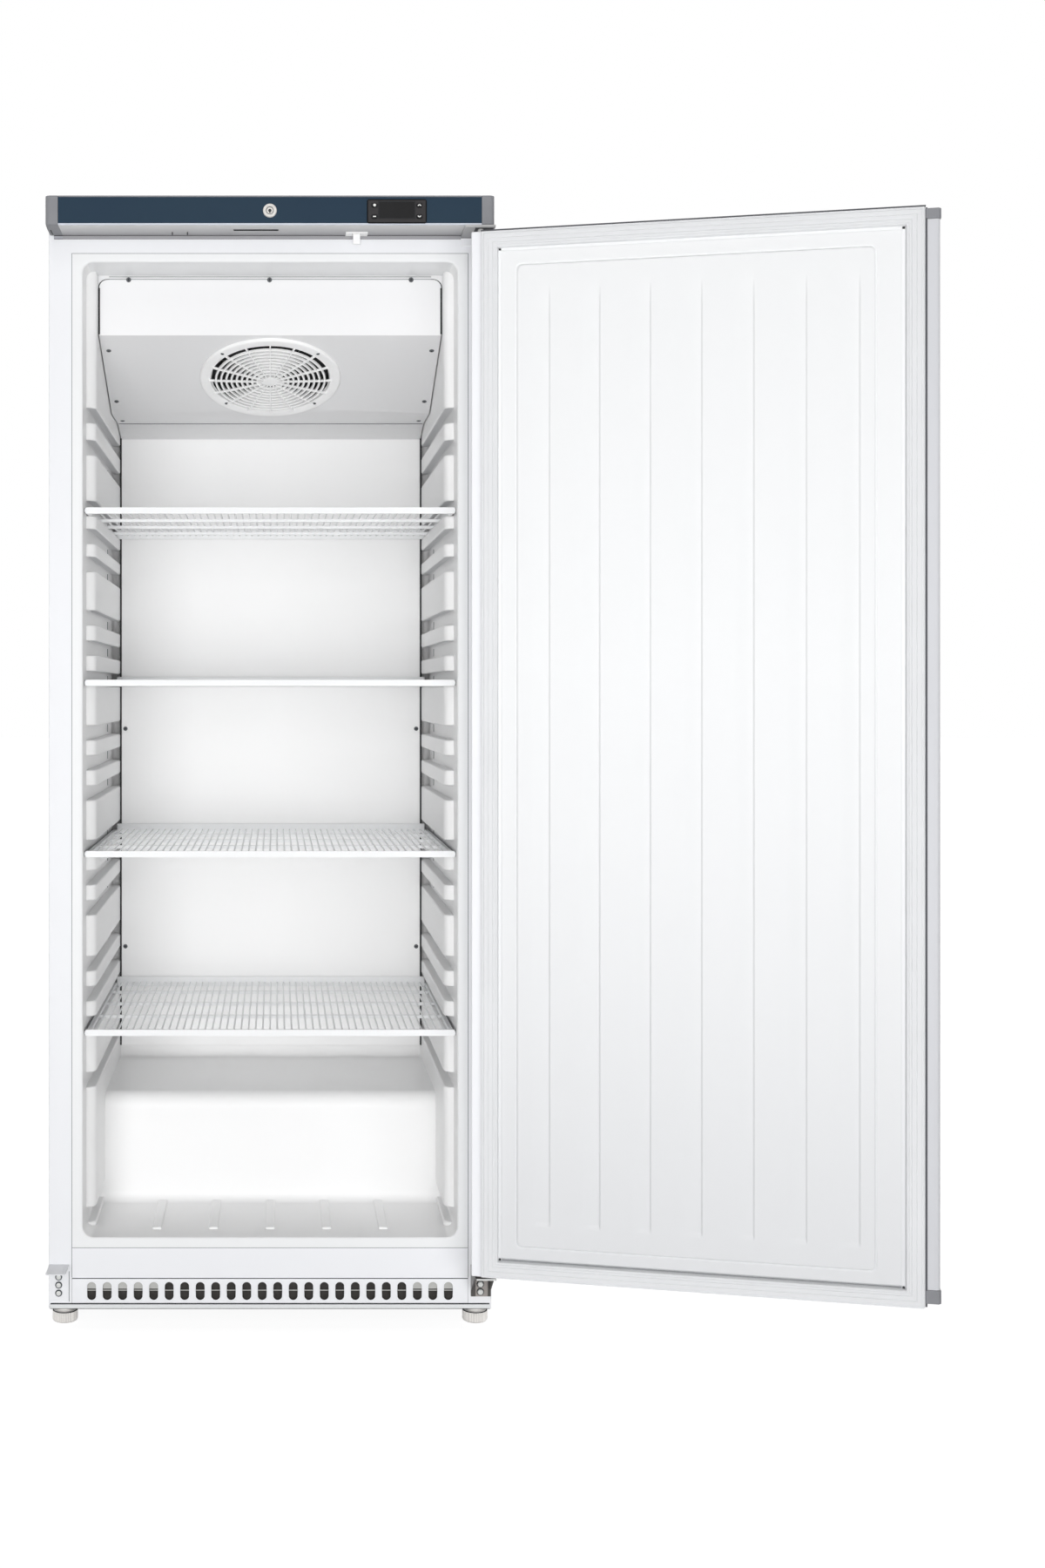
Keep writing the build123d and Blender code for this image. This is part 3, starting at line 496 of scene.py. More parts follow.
dressed("lower_cross_rail", coat, "white_steel", 0.4)
bm = bmesh.new()
cell = Vector((SLOT_PITCH / 2, (KICK_HIGH - KICK_LOW) / 2))
for i in range(SLOT_COUNT):
    lie = lying(((i - (SLOT_COUNT - 1) / 2) * SLOT_PITCH, 0, (KICK_LOW + KICK_HIGH) / 2))
    middle = lie.translation
    loops = [bmesh.ops.create_circle(bm, segments=24, radius=SLOT_HALF / 1000, matrix=lie)["verts"]
             for _ in range(2)]
    for vert in loops[0]:
        above = vert.co.z - middle.z
        if abs(above) > 1e-6:
            vert.co.z += math.copysign(SLOT_STRAIGHT / 1000, above)
    for vert in loops[1]:
        out = (vert.co - middle) * 1000
        out *= 1 / max(abs(out.x) / cell.x, abs(out.z) / cell.y)
        if abs(out.z) > cell.y - 0.1 and abs(out.x) > cell.x * 0.8:
            out.x = math.copysign(cell.x, out.x)
        vert.co = middle + out / 1000
    bmesh.ops.bridge_loops(bm, edges=list({e for loop in loops for v in loop for e in v.link_edges}))
bmesh.ops.remove_doubles(bm, verts=bm.verts, dist=1e-5)
reach = SLOT_PITCH * SLOT_COUNT / 2000
ends = [e for e in bm.edges if e.is_boundary and all(abs(abs(v.co.x) - reach) < 1e-5 for v in e.verts)]
for vert in points(bmesh.ops.extrude_edge_only(bm, edges=ends)):
    vert.co.x = math.copysign(RIM_HALF / 1000, vert.co.x)
bmesh.ops.recalc_face_normals(bm, faces=bm.faces)
bm.normal_update()
if sum(f.normal.y * f.calc_area() for f in bm.faces) > 0:
    bmesh.ops.reverse_faces(bm, faces=bm.faces)
thicken(piece("kick_plate", bm, coat, "cabinet", "white_steel", "kick_grille"), 1.5)

MAT_HALF, MAT_FRONT, MAT_BACK = 340, 9, 14
# Painted shade: a dark mat right behind the kick plate fills its slots with dark, standing for the shade of
# the machine bay behind them.
intake_shade = Finish("intake_mat", (62, 60, 58), 0.9).mottle(0.2, 90).grain(2.5, 0.8)
pale_block = Finish("intake_block", (186, 186, 183), 0.8).mottle(0.06, 40)
blocks("intake_mat", intake_shade, "cabinet", "black_plastic",
       [((-MAT_HALF, MAT_FRONT, 36), (MAT_HALF, MAT_BACK, 85.5), 1)])
blocks("intake_bars", pale_block, "cabinet", "grey_plastic",
       [((-MAT_HALF, 4.5, 62.6), (MAT_HALF, 6, 64.2), 0.4)]
       + [((low, 4.5, 66), (high, MAT_FRONT + 0.5, 84), 0.6) for low, high in ((-326, -189), (243, 326))])
strip_grey = Finish("base_strip_coat", (226, 228, 229), 0.4).mottle(0.02, 4).grain(1.6, 0.01)
blocks("base_strip", strip_grey, "cabinet", "white_steel",
       [((-383, -1.6, SHELL_FOOT + 0.4), (383, 0.2, KICK_LOW - 1.2), 0.7)])
# Painted shadow: dark lines along the top and bottom of the base strip and the top of the kick plate stand
# for the shade in the gaps there.
blocks("plate_seams", recess, "cabinet", "black_plastic",
       [((-382, -0.4, KICK_LOW - 1.8), (382, 0.4, KICK_LOW + 0.8)),
        ((-RIM_HALF, -0.12, KICK_HIGH - 0.2), (RIM_HALF, 0.4, KICK_HIGH + 1.2)),
        ((-382.5, -1.9, SHELL_FOOT + 0.1), (382.5, 0, SHELL_FOOT + 0.9))])

# Base. A galvanised floor pan carries the machine parts, with threaded bushes for the front feet
# and two folded brackets for the rear rollers. The sheet above it closes the foam over the machine bay.

dressed("base_frame", zinc, "galvanised", 0.3)
dressed("bay_panel", zinc, "galvanised", 0.3)
dressed("roller_brackets", zinc, "galvanised", 0.5)

ROLLER_X, ROLLER_Y, ROLLER_RADIUS = 340, 575, 15

rubber = Finish("black_rubber", (38, 39, 41), 0.62).mottle(0.15, 120).polish(0.5, 0.7, 80).grain(1.2, 0.03)


def settle(bm, before, place):
    """Merges what has been added to the shape, turns its faces outwards and moves it to its place."""
    bmesh.ops.remove_doubles(bm, verts=[v for v in bm.verts if v not in before], dist=1e-6)
    fresh = [v for v in bm.verts if v not in before]
    bmesh.ops.recalc_face_normals(bm, faces=list({f for v in fresh for f in v.link_faces}))
    bmesh.ops.transform(bm, matrix=place, verts=fresh)


def turned(bm, profile, place, steps):
    """Spins a line of (radius, height) points in mm about the z axis of a place."""
    before = set(bm.verts)
    line = [bm.verts.new(Vector((radius, 0, height)) / 1000) for radius, height in profile]
    edges = [bm.edges.new(pair) for pair in zip(line, line[1:])]
    bmesh.ops.spin(bm, geom=line + edges, cent=(0, 0, 0), axis=(0, 0, 1), angle=math.tau, steps=steps,
                   use_merge=True)
    settle(bm, before, place)


for side, word in ((-1, "left"), (1, "right")):
    bm = bmesh.new()
    turned(bm, [(3.1, -9), (11, -9), (11, -7.5), (13.5, -7.5), (ROLLER_RADIUS, -6), (ROLLER_RADIUS, 6),
                (13.5, 7.5), (11, 7.5), (11, 9), (3.1, 9), (3.1, -9)],
           lying((side * ROLLER_X, ROLLER_Y, ROLLER_RADIUS), "Y"), 48)
    piece(f"roller_wheel_{word}", bm, rubber, f"roller_{word}", "black_plastic", f"rear_roller_{word}")

# Levelling feet. Off-white moulded cups with a ribbed rim for the fingers turn on a plated stud
# that screws into the floor pan, with a thin hexagon nut above the cup.

FOOT_X, FOOT_Y, FOOT_RADIUS = 361, 40, 22.1
FOOT_RIBS, RIB_DEPTH = 56, 0.8

for side, word in ((-1, "left"), (1, "right")):
    foot_white = Finish(f"foot_plastic_{word}", (250, 247, 243), 0.5)
    # Painted shade: below the top disc, the valleys between the ribs and the cup's underside take a darker
    # copy of the cup's white.
    dx, dy = foot_white.axis("X") - side * FOOT_X / 1000, foot_white.axis("Y") - mm(0, FOOT_Y, 0).y
    valley = (FOOT_RADIUS - RIB_DEPTH / 2) / 1000
    crests = (dx * dx + dy * dy > valley ** 2) + (foot_white.axis("Z") > 0.0178)
    foot_white.feed("Base Color", foot_white.blend(crests, foot_white.shade(0.72), foot_white.shade(1)))
    foot_white.polish(0.42, 0.6, 50).grain(0.9, 0.02)
    bm = bmesh.new()
    place = Matrix.Translation(mm(side * FOOT_X, FOOT_Y, 0))
    turned(bm, [(0, 0), (18.5, 0), (20.8, 1.2), (FOOT_RADIUS, 3.4), (FOOT_RADIUS, 17.6), (21.6, 18.6),
                (20.4, 19), (14, 19), (12, 21), (12, 26), (0, 26)], place, FOOT_RIBS * 4)
    for vert in bm.verts:
        out = vert.co - place.translation
        level, out.z = out.z, 0
        if out.length > 0.0218 and math.cos(math.atan2(out.y, out.x) * FOOT_RIBS) < 0:
            vert.co -= out.normalized() * RIB_DEPTH / 1000
    rod(bm, (side * FOOT_X, FOOT_Y, 26.5), (side * FOOT_X, FOOT_Y, 31.5), 9, 6)
    piece(f"foot_cup_{word}", bm, foot_white, f"foot_{word}", "foot_plastic", f"front_foot_{word}")
    # Painted shade: a thin dark ring round the top of the cup stands for the shade at its edge.
    bm = bmesh.new()
    turned(bm, [(20, 18.8), (21.9, 18.4), (21.9, 18.9), (20.8, 19.3), (20, 19.3), (20, 18.8)], place, 64)
    piece(f"foot_ring_{word}", bm, recess, f"foot_{word}", "black_plastic")
    bm = bmesh.new()
    rod(bm, (side * FOOT_X, FOOT_Y, 31.4), (side * FOOT_X, FOOT_Y, 56), 5, 24)
    stud = Finish(f"foot_stud_{word}", (176, 176, 174), 0.35, Metallic=1.0)
    threads = stud.node("ShaderNodeMath", {"operation": "SINE"}, {0: stud.axis("Z") * (math.tau / 0.00125)})
    stud.bump(threads, 0.35)
    piece(f"foot_stud_{word}", bm, stud, f"foot_{word}", "zinc_steel")

# Evaporator cover. White-coated sheet is folded from the ceiling down a long slope to the top of the back
# panel, and both hang on screws in front of the evaporator. Air returns through the round fan opening.

COVER_HALF, COVER_FACE, COVER_TOP, DUCT_FACE, DUCT_TOP = 307, 97, 1846, 551, 1621
COVER_LINE = ((97, 1746), (344, 1644.5))

cover_white = Finish("duct_white", (238, 238, 239), 0.4, Coat_Weight=0.1, Coat_Roughness=0.3)
cover_white.polish(0.36, 0.46, 8).grain(1.8, 0.01)
# Painted shade: the long slope below the fold takes a slightly darker white than the upright face above it,
# though both are one sheet.
above_fold = cover_white.axis("Z") > (COVER_LINE[0][1] + 0.2) / 1000
cover_white.feed("Base Color", cover_white.blend(above_fold, tone(234, 234, 235), cover_white.colour))
dressed("evaporator_cover", cover_white, "white_steel", 0.4)
dressed("back_duct_panel", liner, "white_steel", 0.4)

run = Vector((0, COVER_LINE[1][0] - COVER_LINE[0][0], COVER_LINE[1][1] - COVER_LINE[0][1])).normalized()
down = Vector((0, run.z, -run.y))


def on_slope(x, share):
    """A point of the long slope, at a share of the way from its top edge to its lower edge."""
    low, high = [Vector((0, *COVER_LINE[i])) for i in (1, 0)]
    spot = high.lerp(low, share)
    return Vector((x, spot.y, spot.z))


screws = Screws(4.4, 1.8)
for x in (-254, -1, 253):
    screws.add((x, COVER_FACE, COVER_TOP - 0.5), (0, -1, 0))
for side in (-1, 1):
    for share in (0.184, 0.835):
        screws.add(on_slope(side * 294, share), down)
    screws.add((side * 294, 436, 1644.8), (0, 0, -1))
    for level in (1031, 585):
        screws.add((side * 298, DUCT_FACE, level), (0, -1, 0))
# Painted shade: a dark zinc grey stands for the shade on the cover's and the fan guard's screw heads, and
# also colours the shadow strips beside the shelves.
shaded_zinc = Finish("shaded_zinc_screws", (104, 107, 110), 0.4, Metallic=0.3).polish(0.3, 0.5, 200)
screws.fix("cover_screws", "cabinet", shaded_zinc)

blocks("duct_seals", cover_white, "cabinet", "white_plastic",
       [((-LINER_HALF + 15, COVER_FACE + 2.6, COVER_TOP - 24),
         (LINER_HALF - 15, COVER_FACE + 15, LINER_CEILING + 0.5), 1),
        ((-COVER_HALF, DUCT_FACE + 0.4, DUCT_TOP), (COVER_HALF, DUCT_FACE + 1.6, DUCT_TOP + 5)),
        ((-COVER_HALF + 2, 478, 1643.4), (COVER_HALF - 2, 480.5, 1645), 0.4)])
# Painted shade: black strips behind the cover's edges, beside its sides and under its lower fold stand for
# the shade in those gaps.
bm = bmesh.new()
fold_z = COVER_LINE[0][1] + 2
brick(bm, (-PAD_HALF - 0.4, COVER_FACE + 1.4, fold_z), (PAD_HALF + 0.4, COVER_FACE + 2.4, COVER_TOP + 1.4))
top = mm(0, 0, COVER_TOP).z
corners = [e for e in bm.edges if all(v.co.z > top for v in e.verts)
           and abs(e.verts[0].co.x - e.verts[1].co.x) < 1e-5]
rounded(bm, corners, 16.5, 5)
inner, outer = COVER_HALF - 1.6, PAD_HALF + 0.6
mirrored(bm, (inner, DUCT_FACE - 0.6, LINER_FLOOR + 226), (outer, DUCT_FACE + 1.2, DUCT_TOP + 2))
mirrored(bm, (inner, COVER_FACE - 0.5, fold_z), (outer, COVER_FACE + 1.5, COVER_TOP - 15))
mirrored(bm, (inner, DUCT_FACE - 2, DUCT_TOP), (outer, DUCT_FACE, DUCT_TOP + 31))
brick(bm, (-COVER_HALF + 2, 475.8, 1644.2), (COVER_HALF - 2, 478, 1644.9))
piece("edge_seals", bm, rubber, "cabinet", "black_plastic")
# Painted shadow: two grey lines across the cover's top edge stand for the shade in the gap under the ceiling.
blocks("cover_seams", seam_shadow_grey, "cabinet", "grey_plastic",
       [((-COVER_HALF + 18, COVER_FACE + 1, level - 0.5), (COVER_HALF - 18, COVER_FACE + 3, level + 0.5))
        for level in (COVER_TOP + 0.6, COVER_TOP + 5.4)])

# Evaporator. Aluminium fins on copper bends fill the space behind the cover.

fins = Finish("aluminium_fins", (196, 199, 202), 0.35, Metallic=0.9)
comb = fins.node("ShaderNodeMath", {"operation": "SINE"}, {0: fins.axis("X") * (math.tau / 0.004)})
fins.mottle(0.08, 40).bump(comb, 1.0)
dressed("evaporator_coil", fins, "fins", 0.6)

# Fan guard. A white moulded guard with a domed grid of rings and spokes is screwed over the fan opening.

FAN_SHARE = 0.522
GUARD_OUTER, GUARD_BORE, GUARD_DEPTH, GUARD_DOME = 131, 111, 6, 2.5
RINGS, SPOKES, HUB, RING_HALF, SPOKE_HALF = 9, 16, 15, 1.8, 1.1

white_moulding = Finish("white_moulding", (250, 250, 250), 0.4)
white_moulding.mottle(0.02, 30).polish(0.34, 0.46, 40).grain(0.7, 0.012)
fan_centre = on_slope(0, FAN_SHARE)
tilt = Matrix(((1, 0, 0, 0), (0, down.z, down.y, 0), (0, -down.y, down.z, 0), (0, 0, 0, 1)))
fan_place = Matrix.Translation(mm(*fan_centre)) @ tilt


def dome(radius):
    """Height of the guard's dome over its flange, in mm."""
    return GUARD_DOME * (1 - (radius / GUARD_BORE) ** 2)


bm = bmesh.new()
turned(bm, [(GUARD_BORE, 0), (GUARD_OUTER, 0), (GUARD_OUTER, GUARD_DEPTH - 3),
            (GUARD_OUTER - 1.5, GUARD_DEPTH - 1), (GUARD_OUTER - 5, GUARD_DEPTH),
            (GUARD_BORE + 4, GUARD_DEPTH - 0.4), (GUARD_BORE + 1, GUARD_DEPTH - 1.4),
            (GUARD_BORE, GUARD_DEPTH - 3), (GUARD_BORE, 0)], fan_place, 80)
for i in range(RINGS):
    radius = HUB + (i + 1) * (GUARD_BORE - HUB) / (RINGS + 1)
    near, far, level = radius - RING_HALF, radius + RING_HALF, dome(radius) + 3
    turned(bm, [(near, level), (far, level), (far, level + 4.1), (far - 0.6, level + 4.7),
                (near + 0.6, level + 4.7), (near, level + 4.1), (near, level)], fan_place, 64)
turned(bm, [(0, dome(0) + 2), (HUB, dome(HUB) + 2), (HUB, dome(HUB) + 6.6), (HUB - 2, dome(HUB) + 7.6),
            (0, dome(0) + 7.8)], fan_place, 48)
for i in range(SPOKES):
    stops = [HUB - 1 + (GUARD_BORE - HUB + 5) * step / 7 for step in range(8)]
    line = [(radius, dome(radius) + 4.4) for radius in stops]
    line += [(radius, dome(radius) + 8.3) for radius in stops[::-1]]
    before = set(bm.verts)
    corners = [Vector((radius, -SPOKE_HALF, height)) / 1000 for radius, height in line]
    face = bm.faces.new([bm.verts.new(corner) for corner in corners])
    for vert in points(bmesh.ops.extrude_face_region(bm, geom=[face])):
        vert.co.y = SPOKE_HALF / 1000
    settle(bm, before, fan_place @ Matrix.Rotation(math.tau * i / SPOKES, 4, "Z"))
piece("fan_guard", bm, white_moulding, "cabinet", "white_plastic", "fan_grille")
screws = Screws(3.8, 1.4)
for x, along in ((-87, -88), (87, -88), (-84, 82), (84, 82)):
    screws.add(fan_centre + Vector((x, 0, 0)) + run * along + down * (GUARD_DEPTH - 1), down)
screws.fix("guard_screws", "cabinet", shaded_zinc)

# Fans. Black moulded blades are pressed on the shafts of small shaded-pole motors,
# one held in a ring behind the evaporator cover and one in the condenser's throat.

black = Finish("black_moulding", (34, 35, 37), 0.5, Specular_IOR_Level=0.3)
black.mottle(0.15, 60).polish(0.42, 0.6, 50).grain(0.8, 0.02)
motor_grey = Finish("motor_can", (92, 95, 99), 0.45, Metallic=0.6).mottle(0.12, 60).polish(0.35, 0.55, 90)
dressed("fan_shroud", black, "black_plastic", 0.5)


def propeller(bm, place, level, tip, hub, height):
    """A cupped hub and five twisted blades about the z axis of a place."""
    turned(bm, [(3.1, level - height / 2), (hub - 2, level - height / 2), (hub, level - height / 2 + 2),
                (hub, level + height / 2 - 3), (hub - 3, level + height / 2), (3.1, level + height / 2),
                (3.1, level - height / 2)], place, 40)
    for i in range(5):
        before = set(bm.verts)
        grid = bmesh.ops.create_grid(bm, x_segments=6, y_segments=7, size=0.5)["verts"]
        for vert in grid:
            chord, reach = vert.co.x, vert.co.y + 0.5
            radius = hub - 1 + (tip - hub + 1) * reach
            span = math.radians(44 + 10 * math.sin(math.pi * reach))
            angle = chord * span + math.radians(8) * reach
            lift = level - chord * height * (0.92 - 0.25 * reach) + 2.5 * math.cos(math.pi * chord)
            vert.co = Vector((radius * math.cos(angle), radius * math.sin(angle), lift)) / 1000
        faces = list({f for v in grid for f in v.link_faces})
        bmesh.ops.solidify(bm, geom=faces, thickness=0.0018)
        settle(bm, before, place @ Matrix.Rotation(math.tau * i / 5, 4, "Z"))


def motor(bm, place, radius, low, high, shaft):
    """A turned can with stepped ends and its shaft."""
    turned(bm, [(0, low), (radius * 0.6, low), (radius * 0.66, low + 3), (radius - 2, low + 4),
                (radius, low + 7), (radius, high - 7), (radius - 2, high - 4), (radius * 0.4, high - 3),
                (radius * 0.34, high), (3, high), (3, shaft), (0, shaft)], place, 48)


bm = bmesh.new()
propeller(bm, fan_place, -24, 108, 24, 24)
piece("evaporator_blades", bm, black, "evaporator_fan", "black_plastic", "fan_blades", soft=40)
bm = bmesh.new()
motor(bm, fan_place, 40, -84, -40, -15)
piece("evaporator_motor", bm, motor_grey, "cabinet", "compressor_black", "fan_motor")

CONDENSER_AXIS = mm(52, 445, 150)
sideways = Matrix(((0, 0, -1, 0), (1, 0, 0, 0), (0, -1, 0, 0), (0, 0, 0, 1)))
bay_fan_place = Matrix.Translation(CONDENSER_AXIS) @ sideways
bm = bmesh.new()
propeller(bm, bay_fan_place, 8, 86, 24, 22)
piece("condenser_blades", bm, black, "condenser_fan", "black_plastic", "condenser_fan_blades", soft=40)
bm = bmesh.new()
motor(bm, bay_fan_place, 35, 25, 63, 1)
bmesh.ops.recalc_face_normals(bm, faces=bm.faces)
piece("condenser_motor", bm, motor_grey, "cabinet", "compressor_black", "condenser_fan_motor")

# Header. A hollow grey box screwed over the top of the cabinet's front holds the controller, the lock and
# the switch. Its dark blue front plate lies between a pale lip below and a grey lip above, and bevelled grey
# caps close its ends.

HEADER_FRONT, HEADER_LOW, HEADER_HIGH, CAP_INNER, CAP_OUTER = -72, 1900, 1950, 360.5, 382.5
FLANGE_LEFT, FLANGE_RIGHT = -376, 348

header_grey = Finish("header_grey", (222, 220, 218), 0.5, Specular_IOR_Level=0.3)
header_grey.polish(0.4, 0.52, 30).grain(0.9, 0.015)


def painted_shade_inwards(finish, light=226, dark=160):
    """Painted shade: a grey that darkens from the header's front lip back to the cabinet."""
    depth = (finish.axis("Y") - mm(0, HEADER_FRONT, 0).y) * (1000 / -HEADER_FRONT)
    return finish.blend(depth, tone(light, light, light), tone(dark, dark, dark + 3))


# Painted shade: the housing's grey darkens towards the cabinet, where its underside lies deeper in shade.
header_grey.feed("Base Color", painted_shade_inwards(header_grey))
cap_grey = Finish("cap_grey", (139, 140, 144), 0.55, Specular_IOR_Level=0.25)
cap_grey.mottle(0.04, 25).polish(0.42, 0.58, 40).grain(0.8, 0.03)
navy = Finish("navy_front", (50, 68, 88), 0.4, Specular_IOR_Level=0.08)
drift = navy.noise(3, 3.0) * 1.6 - 0.3
navy.feed("Base Color", navy.blend(drift, tone(43, 59, 77), tone(49, 66, 79)))
navy.polish(0.36, 0.46, 14).grain(1.2, 0.006)
lip_white = Finish("header_lip", (206, 211, 222), 0.4).mottle(0.02, 20)

dressed("header_housing", header_grey, "grey_plastic", 0.5)
flange_grey = Finish("header_flange", (168, 170, 176), 0.5).mottle(0.03, 20)
blocks("header_rear_flange", flange_grey, "cabinet", "grey_plastic",
       [((FLANGE_LEFT, -1.2, HEADER_LOW - 5.6), (FLANGE_RIGHT, 0.3, HEADER_LOW), 0.3)])
blocks("front_plate", navy, "cabinet", "navy_panel",
       [((-CAP_INNER, HEADER_FRONT, HEADER_LOW + 2.6), (CAP_INNER, -70, HEADER_HIGH - 2.4), 0.6)],
       "header_fascia")
blocks("front_lip_lower", lip_white, "cabinet", "grey_plastic",
       [((-CAP_INNER, HEADER_FRONT - 0.6, HEADER_LOW), (CAP_INNER, -69.5, HEADER_LOW + 3), 0.7)])
blocks("front_lip_upper", cap_grey, "cabinet", "grey_plastic",
       [((-CAP_INNER, HEADER_FRONT - 0.4, HEADER_HIGH - 2.6), (CAP_INNER, -69.5, HEADER_HIGH), 0.7)])
# Painted shade: dark strips stand for the shade in the slots under the header, in the gaps along its rear
# flange and under the right cap.
blocks("header_slots", recess, "cabinet", "black_plastic",
       [((-62.5, -33.4, HEADER_LOW - 0.1), (14.5, -33, HEADER_LOW + 2)),
        ((FLANGE_LEFT, -2.2, HEADER_LOW - 0.9), (FLANGE_RIGHT, -0.9, HEADER_LOW + 0.1)),
        ((FLANGE_LEFT, -1.3, HEADER_LOW - 6.2), (FLANGE_RIGHT, 0.2, HEADER_LOW - 5.5)),
        ((350, -68, HEADER_LOW - 4.3), (381.5, -2, HEADER_LOW - 3.6), 0.2),
        ((-378, -38, HEADER_LOW - 0.4), (-376, -9, HEADER_LOW + 0.2), 0.2)]
       + [((x - 0.9, -25, HEADER_LOW - 5), (x + 0.9, -23, HEADER_LOW + 0.2), 0.3) for x in (-168.5, -142.5)])
bm = bmesh.new()
mirrored(bm, (CAP_INNER, HEADER_FRONT - 0.8, HEADER_LOW), (CAP_OUTER, -0.2, HEADER_HIGH))
outside = [e for e in bm.edges
           if all(abs(v.co.x) > (CAP_OUTER - 1) / 1000 and v.co.y < -0.38 for v in e.verts)]
rounded(bm, outside, 9, 5)
bm.normal_update()
lower = [e for e in bm.edges if all(v.co.z < 1.9001 and v.co.y < -0.36 for v in e.verts)
         and e.calc_face_angle(0) > 1]
rounded(bm, lower, 4, 2)
bm.normal_update()
rounded(bm, [e for e in bm.edges if e.calc_face_angle(0) > 0.6], 0.8, 2)
piece("end_caps", bm, cap_grey, "cabinet", "grey_plastic", "header_end_caps")

# Controller. A black moulded bezel snaps into the front plate, with a smoked window for the figures
# and four small oval keys, each with a pale moulded sign.

CONTROL_X, CONTROL_Z = 215.8, 1922.5
KEYS = {"upper_left": (-38, 10, "dot"), "lower_left": (-38, -9.2, "bar"),
        "upper_right": (38.3, 10, "up"), "lower_right": (38.3, -9.2, "down")}

smoked = Finish("smoked_window", (38, 38, 39), 0.3, Specular_IOR_Level=0.12)
smoked.mottle(0.1, 25).polish(0.26, 0.34, 30)
bezel_black = Finish("bezel_black", (66, 65, 66), 0.5, Specular_IOR_Level=0.15)
bezel_black.polish(0.45, 0.55, 60).grain(0.6, 0.02)
# Painted shade: the bezel's outer border takes a near-black copy of its grey, standing for the dark outline
# of shade round it.
dx, dz = bezel_black.axis("X") - CONTROL_X / 1000, bezel_black.axis("Z") - CONTROL_Z / 1000
edge = (dx * dx > 0.0488 ** 2) + (dz * dz > 0.0186 ** 2)
bezel_black.feed("Base Color", bezel_black.blend(edge, tone(58, 57, 58), tone(16, 16, 17)))
dressed("controller_housing", bezel_black, "black_plastic", 0.7)
blocks("pane_frame", black, "cabinet", "black_plastic",
       [((CONTROL_X - 31.8, -75.3, CONTROL_Z - 13.4), (CONTROL_X + 31.8, -73.6, CONTROL_Z + 17.4), 0.4)])
blocks("smoked_pane", smoked, "cabinet", "display",
       [((CONTROL_X - 29.9, -75.5, CONTROL_Z - 11.5), (CONTROL_X + 29.9, -73.6, CONTROL_Z + 15.5), 0.3)],
       "display_window")
sign_white = Finish("key_sign", (244, 245, 242), 0.45).mottle(0.03, 300)
for word, (dx, dz, sign) in KEYS.items():
    x, z = CONTROL_X + dx, CONTROL_Z + dz
    bm = bmesh.new()
    lie = lying((x, -71.5, z))
    turned(bm, [(0, 0), (3.3, 0), (3.3, 3.6), (2.9, 4.3), (2.2, 4.6), (0, 4.7)], lie, 32)
    for vert in bm.verts:
        off = vert.co.x - x / 1000
        vert.co.x += math.copysign(0.0014, off) if abs(off) > 1e-6 else 0
    piece(f"key_{word}", bm, black, f"button_{word}", "black_plastic", f"button_{word}")
    bm = bmesh.new()
    if sign == "dot":
        turned(bm, [(0, 4.4), (2.3, 4.4), (2.3, 4.72), (1.9, 4.85), (0, 4.85)], lie, 24)
    elif sign == "bar":
        brick(bm, (x - 2.6, -76.35, z - 0.9), (x + 2.6, -75.8, z + 0.9), 0.2)
    else:
        slant = 34 if sign == "up" else -34
        for side in (-1, 1):
            before = set(bm.verts)
            brick(bm, (x - 1.9, -76.35, z - 0.75), (x + 1.9, -75.8, z + 0.75), 0.15)
            turn = Matrix.Rotation(math.radians(slant * side), 4, "Y")
            away = Matrix.Translation(mm(x + side * 1.25, -76.1, z))
            settle(bm, before, away @ turn @ Matrix.Translation(-mm(x, -76.1, z)))
    piece(f"key_sign_{word}", bm, sign_white, f"button_{word}", "white_plastic")

# Lock. A chromed ring fixed by its nut behind the front plate, and a barrel that turns a flat cam
# down into the cup in the top of the door.

LOCK_Z = 1924

# Painted reflection: the chrome's pale base and its drifting darker and lighter patches stand for the
# surroundings mirrored in it.
chrome = Finish("chrome", (226, 223, 219), 0.22, Metallic=0.45).polish(0.16, 0.28, 200).mottle(0.12, 170)
cam_steel = Finish("plated_steel", (182, 184, 186), 0.35, Metallic=1.0)
cam_steel.polish(0.28, 0.42, 80).mottle(0.05, 60)
lock_place = lying((0, 0, LOCK_Z))
bm = bmesh.new()
turned(bm, [(6.6, 48), (9.9, 48), (9.9, 72), (12, 72), (12, 73.4), (11.2, 74.6), (9.6, 75), (8.4, 74.6),
            (6.6, 74.2), (6.6, 48)], lock_place, 64)
piece("lock_ring", bm, chrome, "cabinet", "chrome", "lock_housing")
bm = bmesh.new()
turned(bm, [(0, 39), (6, 39), (6, 73), (5.4, 73.9), (0, 74.1)], lock_place, 48)
piece("lock_plug", bm, chrome, "lock", "chrome", "lock_barrel")
# Painted shade: dark pieces stand for the shade in the keyway slot, in the key's hole and in the gap round
# the barrel.
bm = bmesh.new()
brick(bm, (-1.1, -74.5, LOCK_Z - 4.4), (1.1, -73.8, LOCK_Z + 2), 0.2)
turned(bm, [(0, 73.6), (2.7, 73.6), (2.7, 74.4), (2.4, 74.55), (0, 74.55)], lock_place, 24)
turned(bm, [(5.9, 73.2), (7.5, 73.2), (7.5, 74.35), (5.9, 74.0), (5.9, 73.2)], lock_place, 48)
piece("lock_keyway", bm, recess, "lock", "black_plastic")
dressed("lock_cam", cam_steel, "zinc_steel", 0.5)

# Door switch. A white rocking tab hangs below the header in a small snap-in case of the same moulding.
# The door comes up against it as it closes.

dressed("door_switch_body", white_moulding, "white_plastic", 0.4)
dressed("switch_lever", white_moulding, "white_plastic", 0.5)

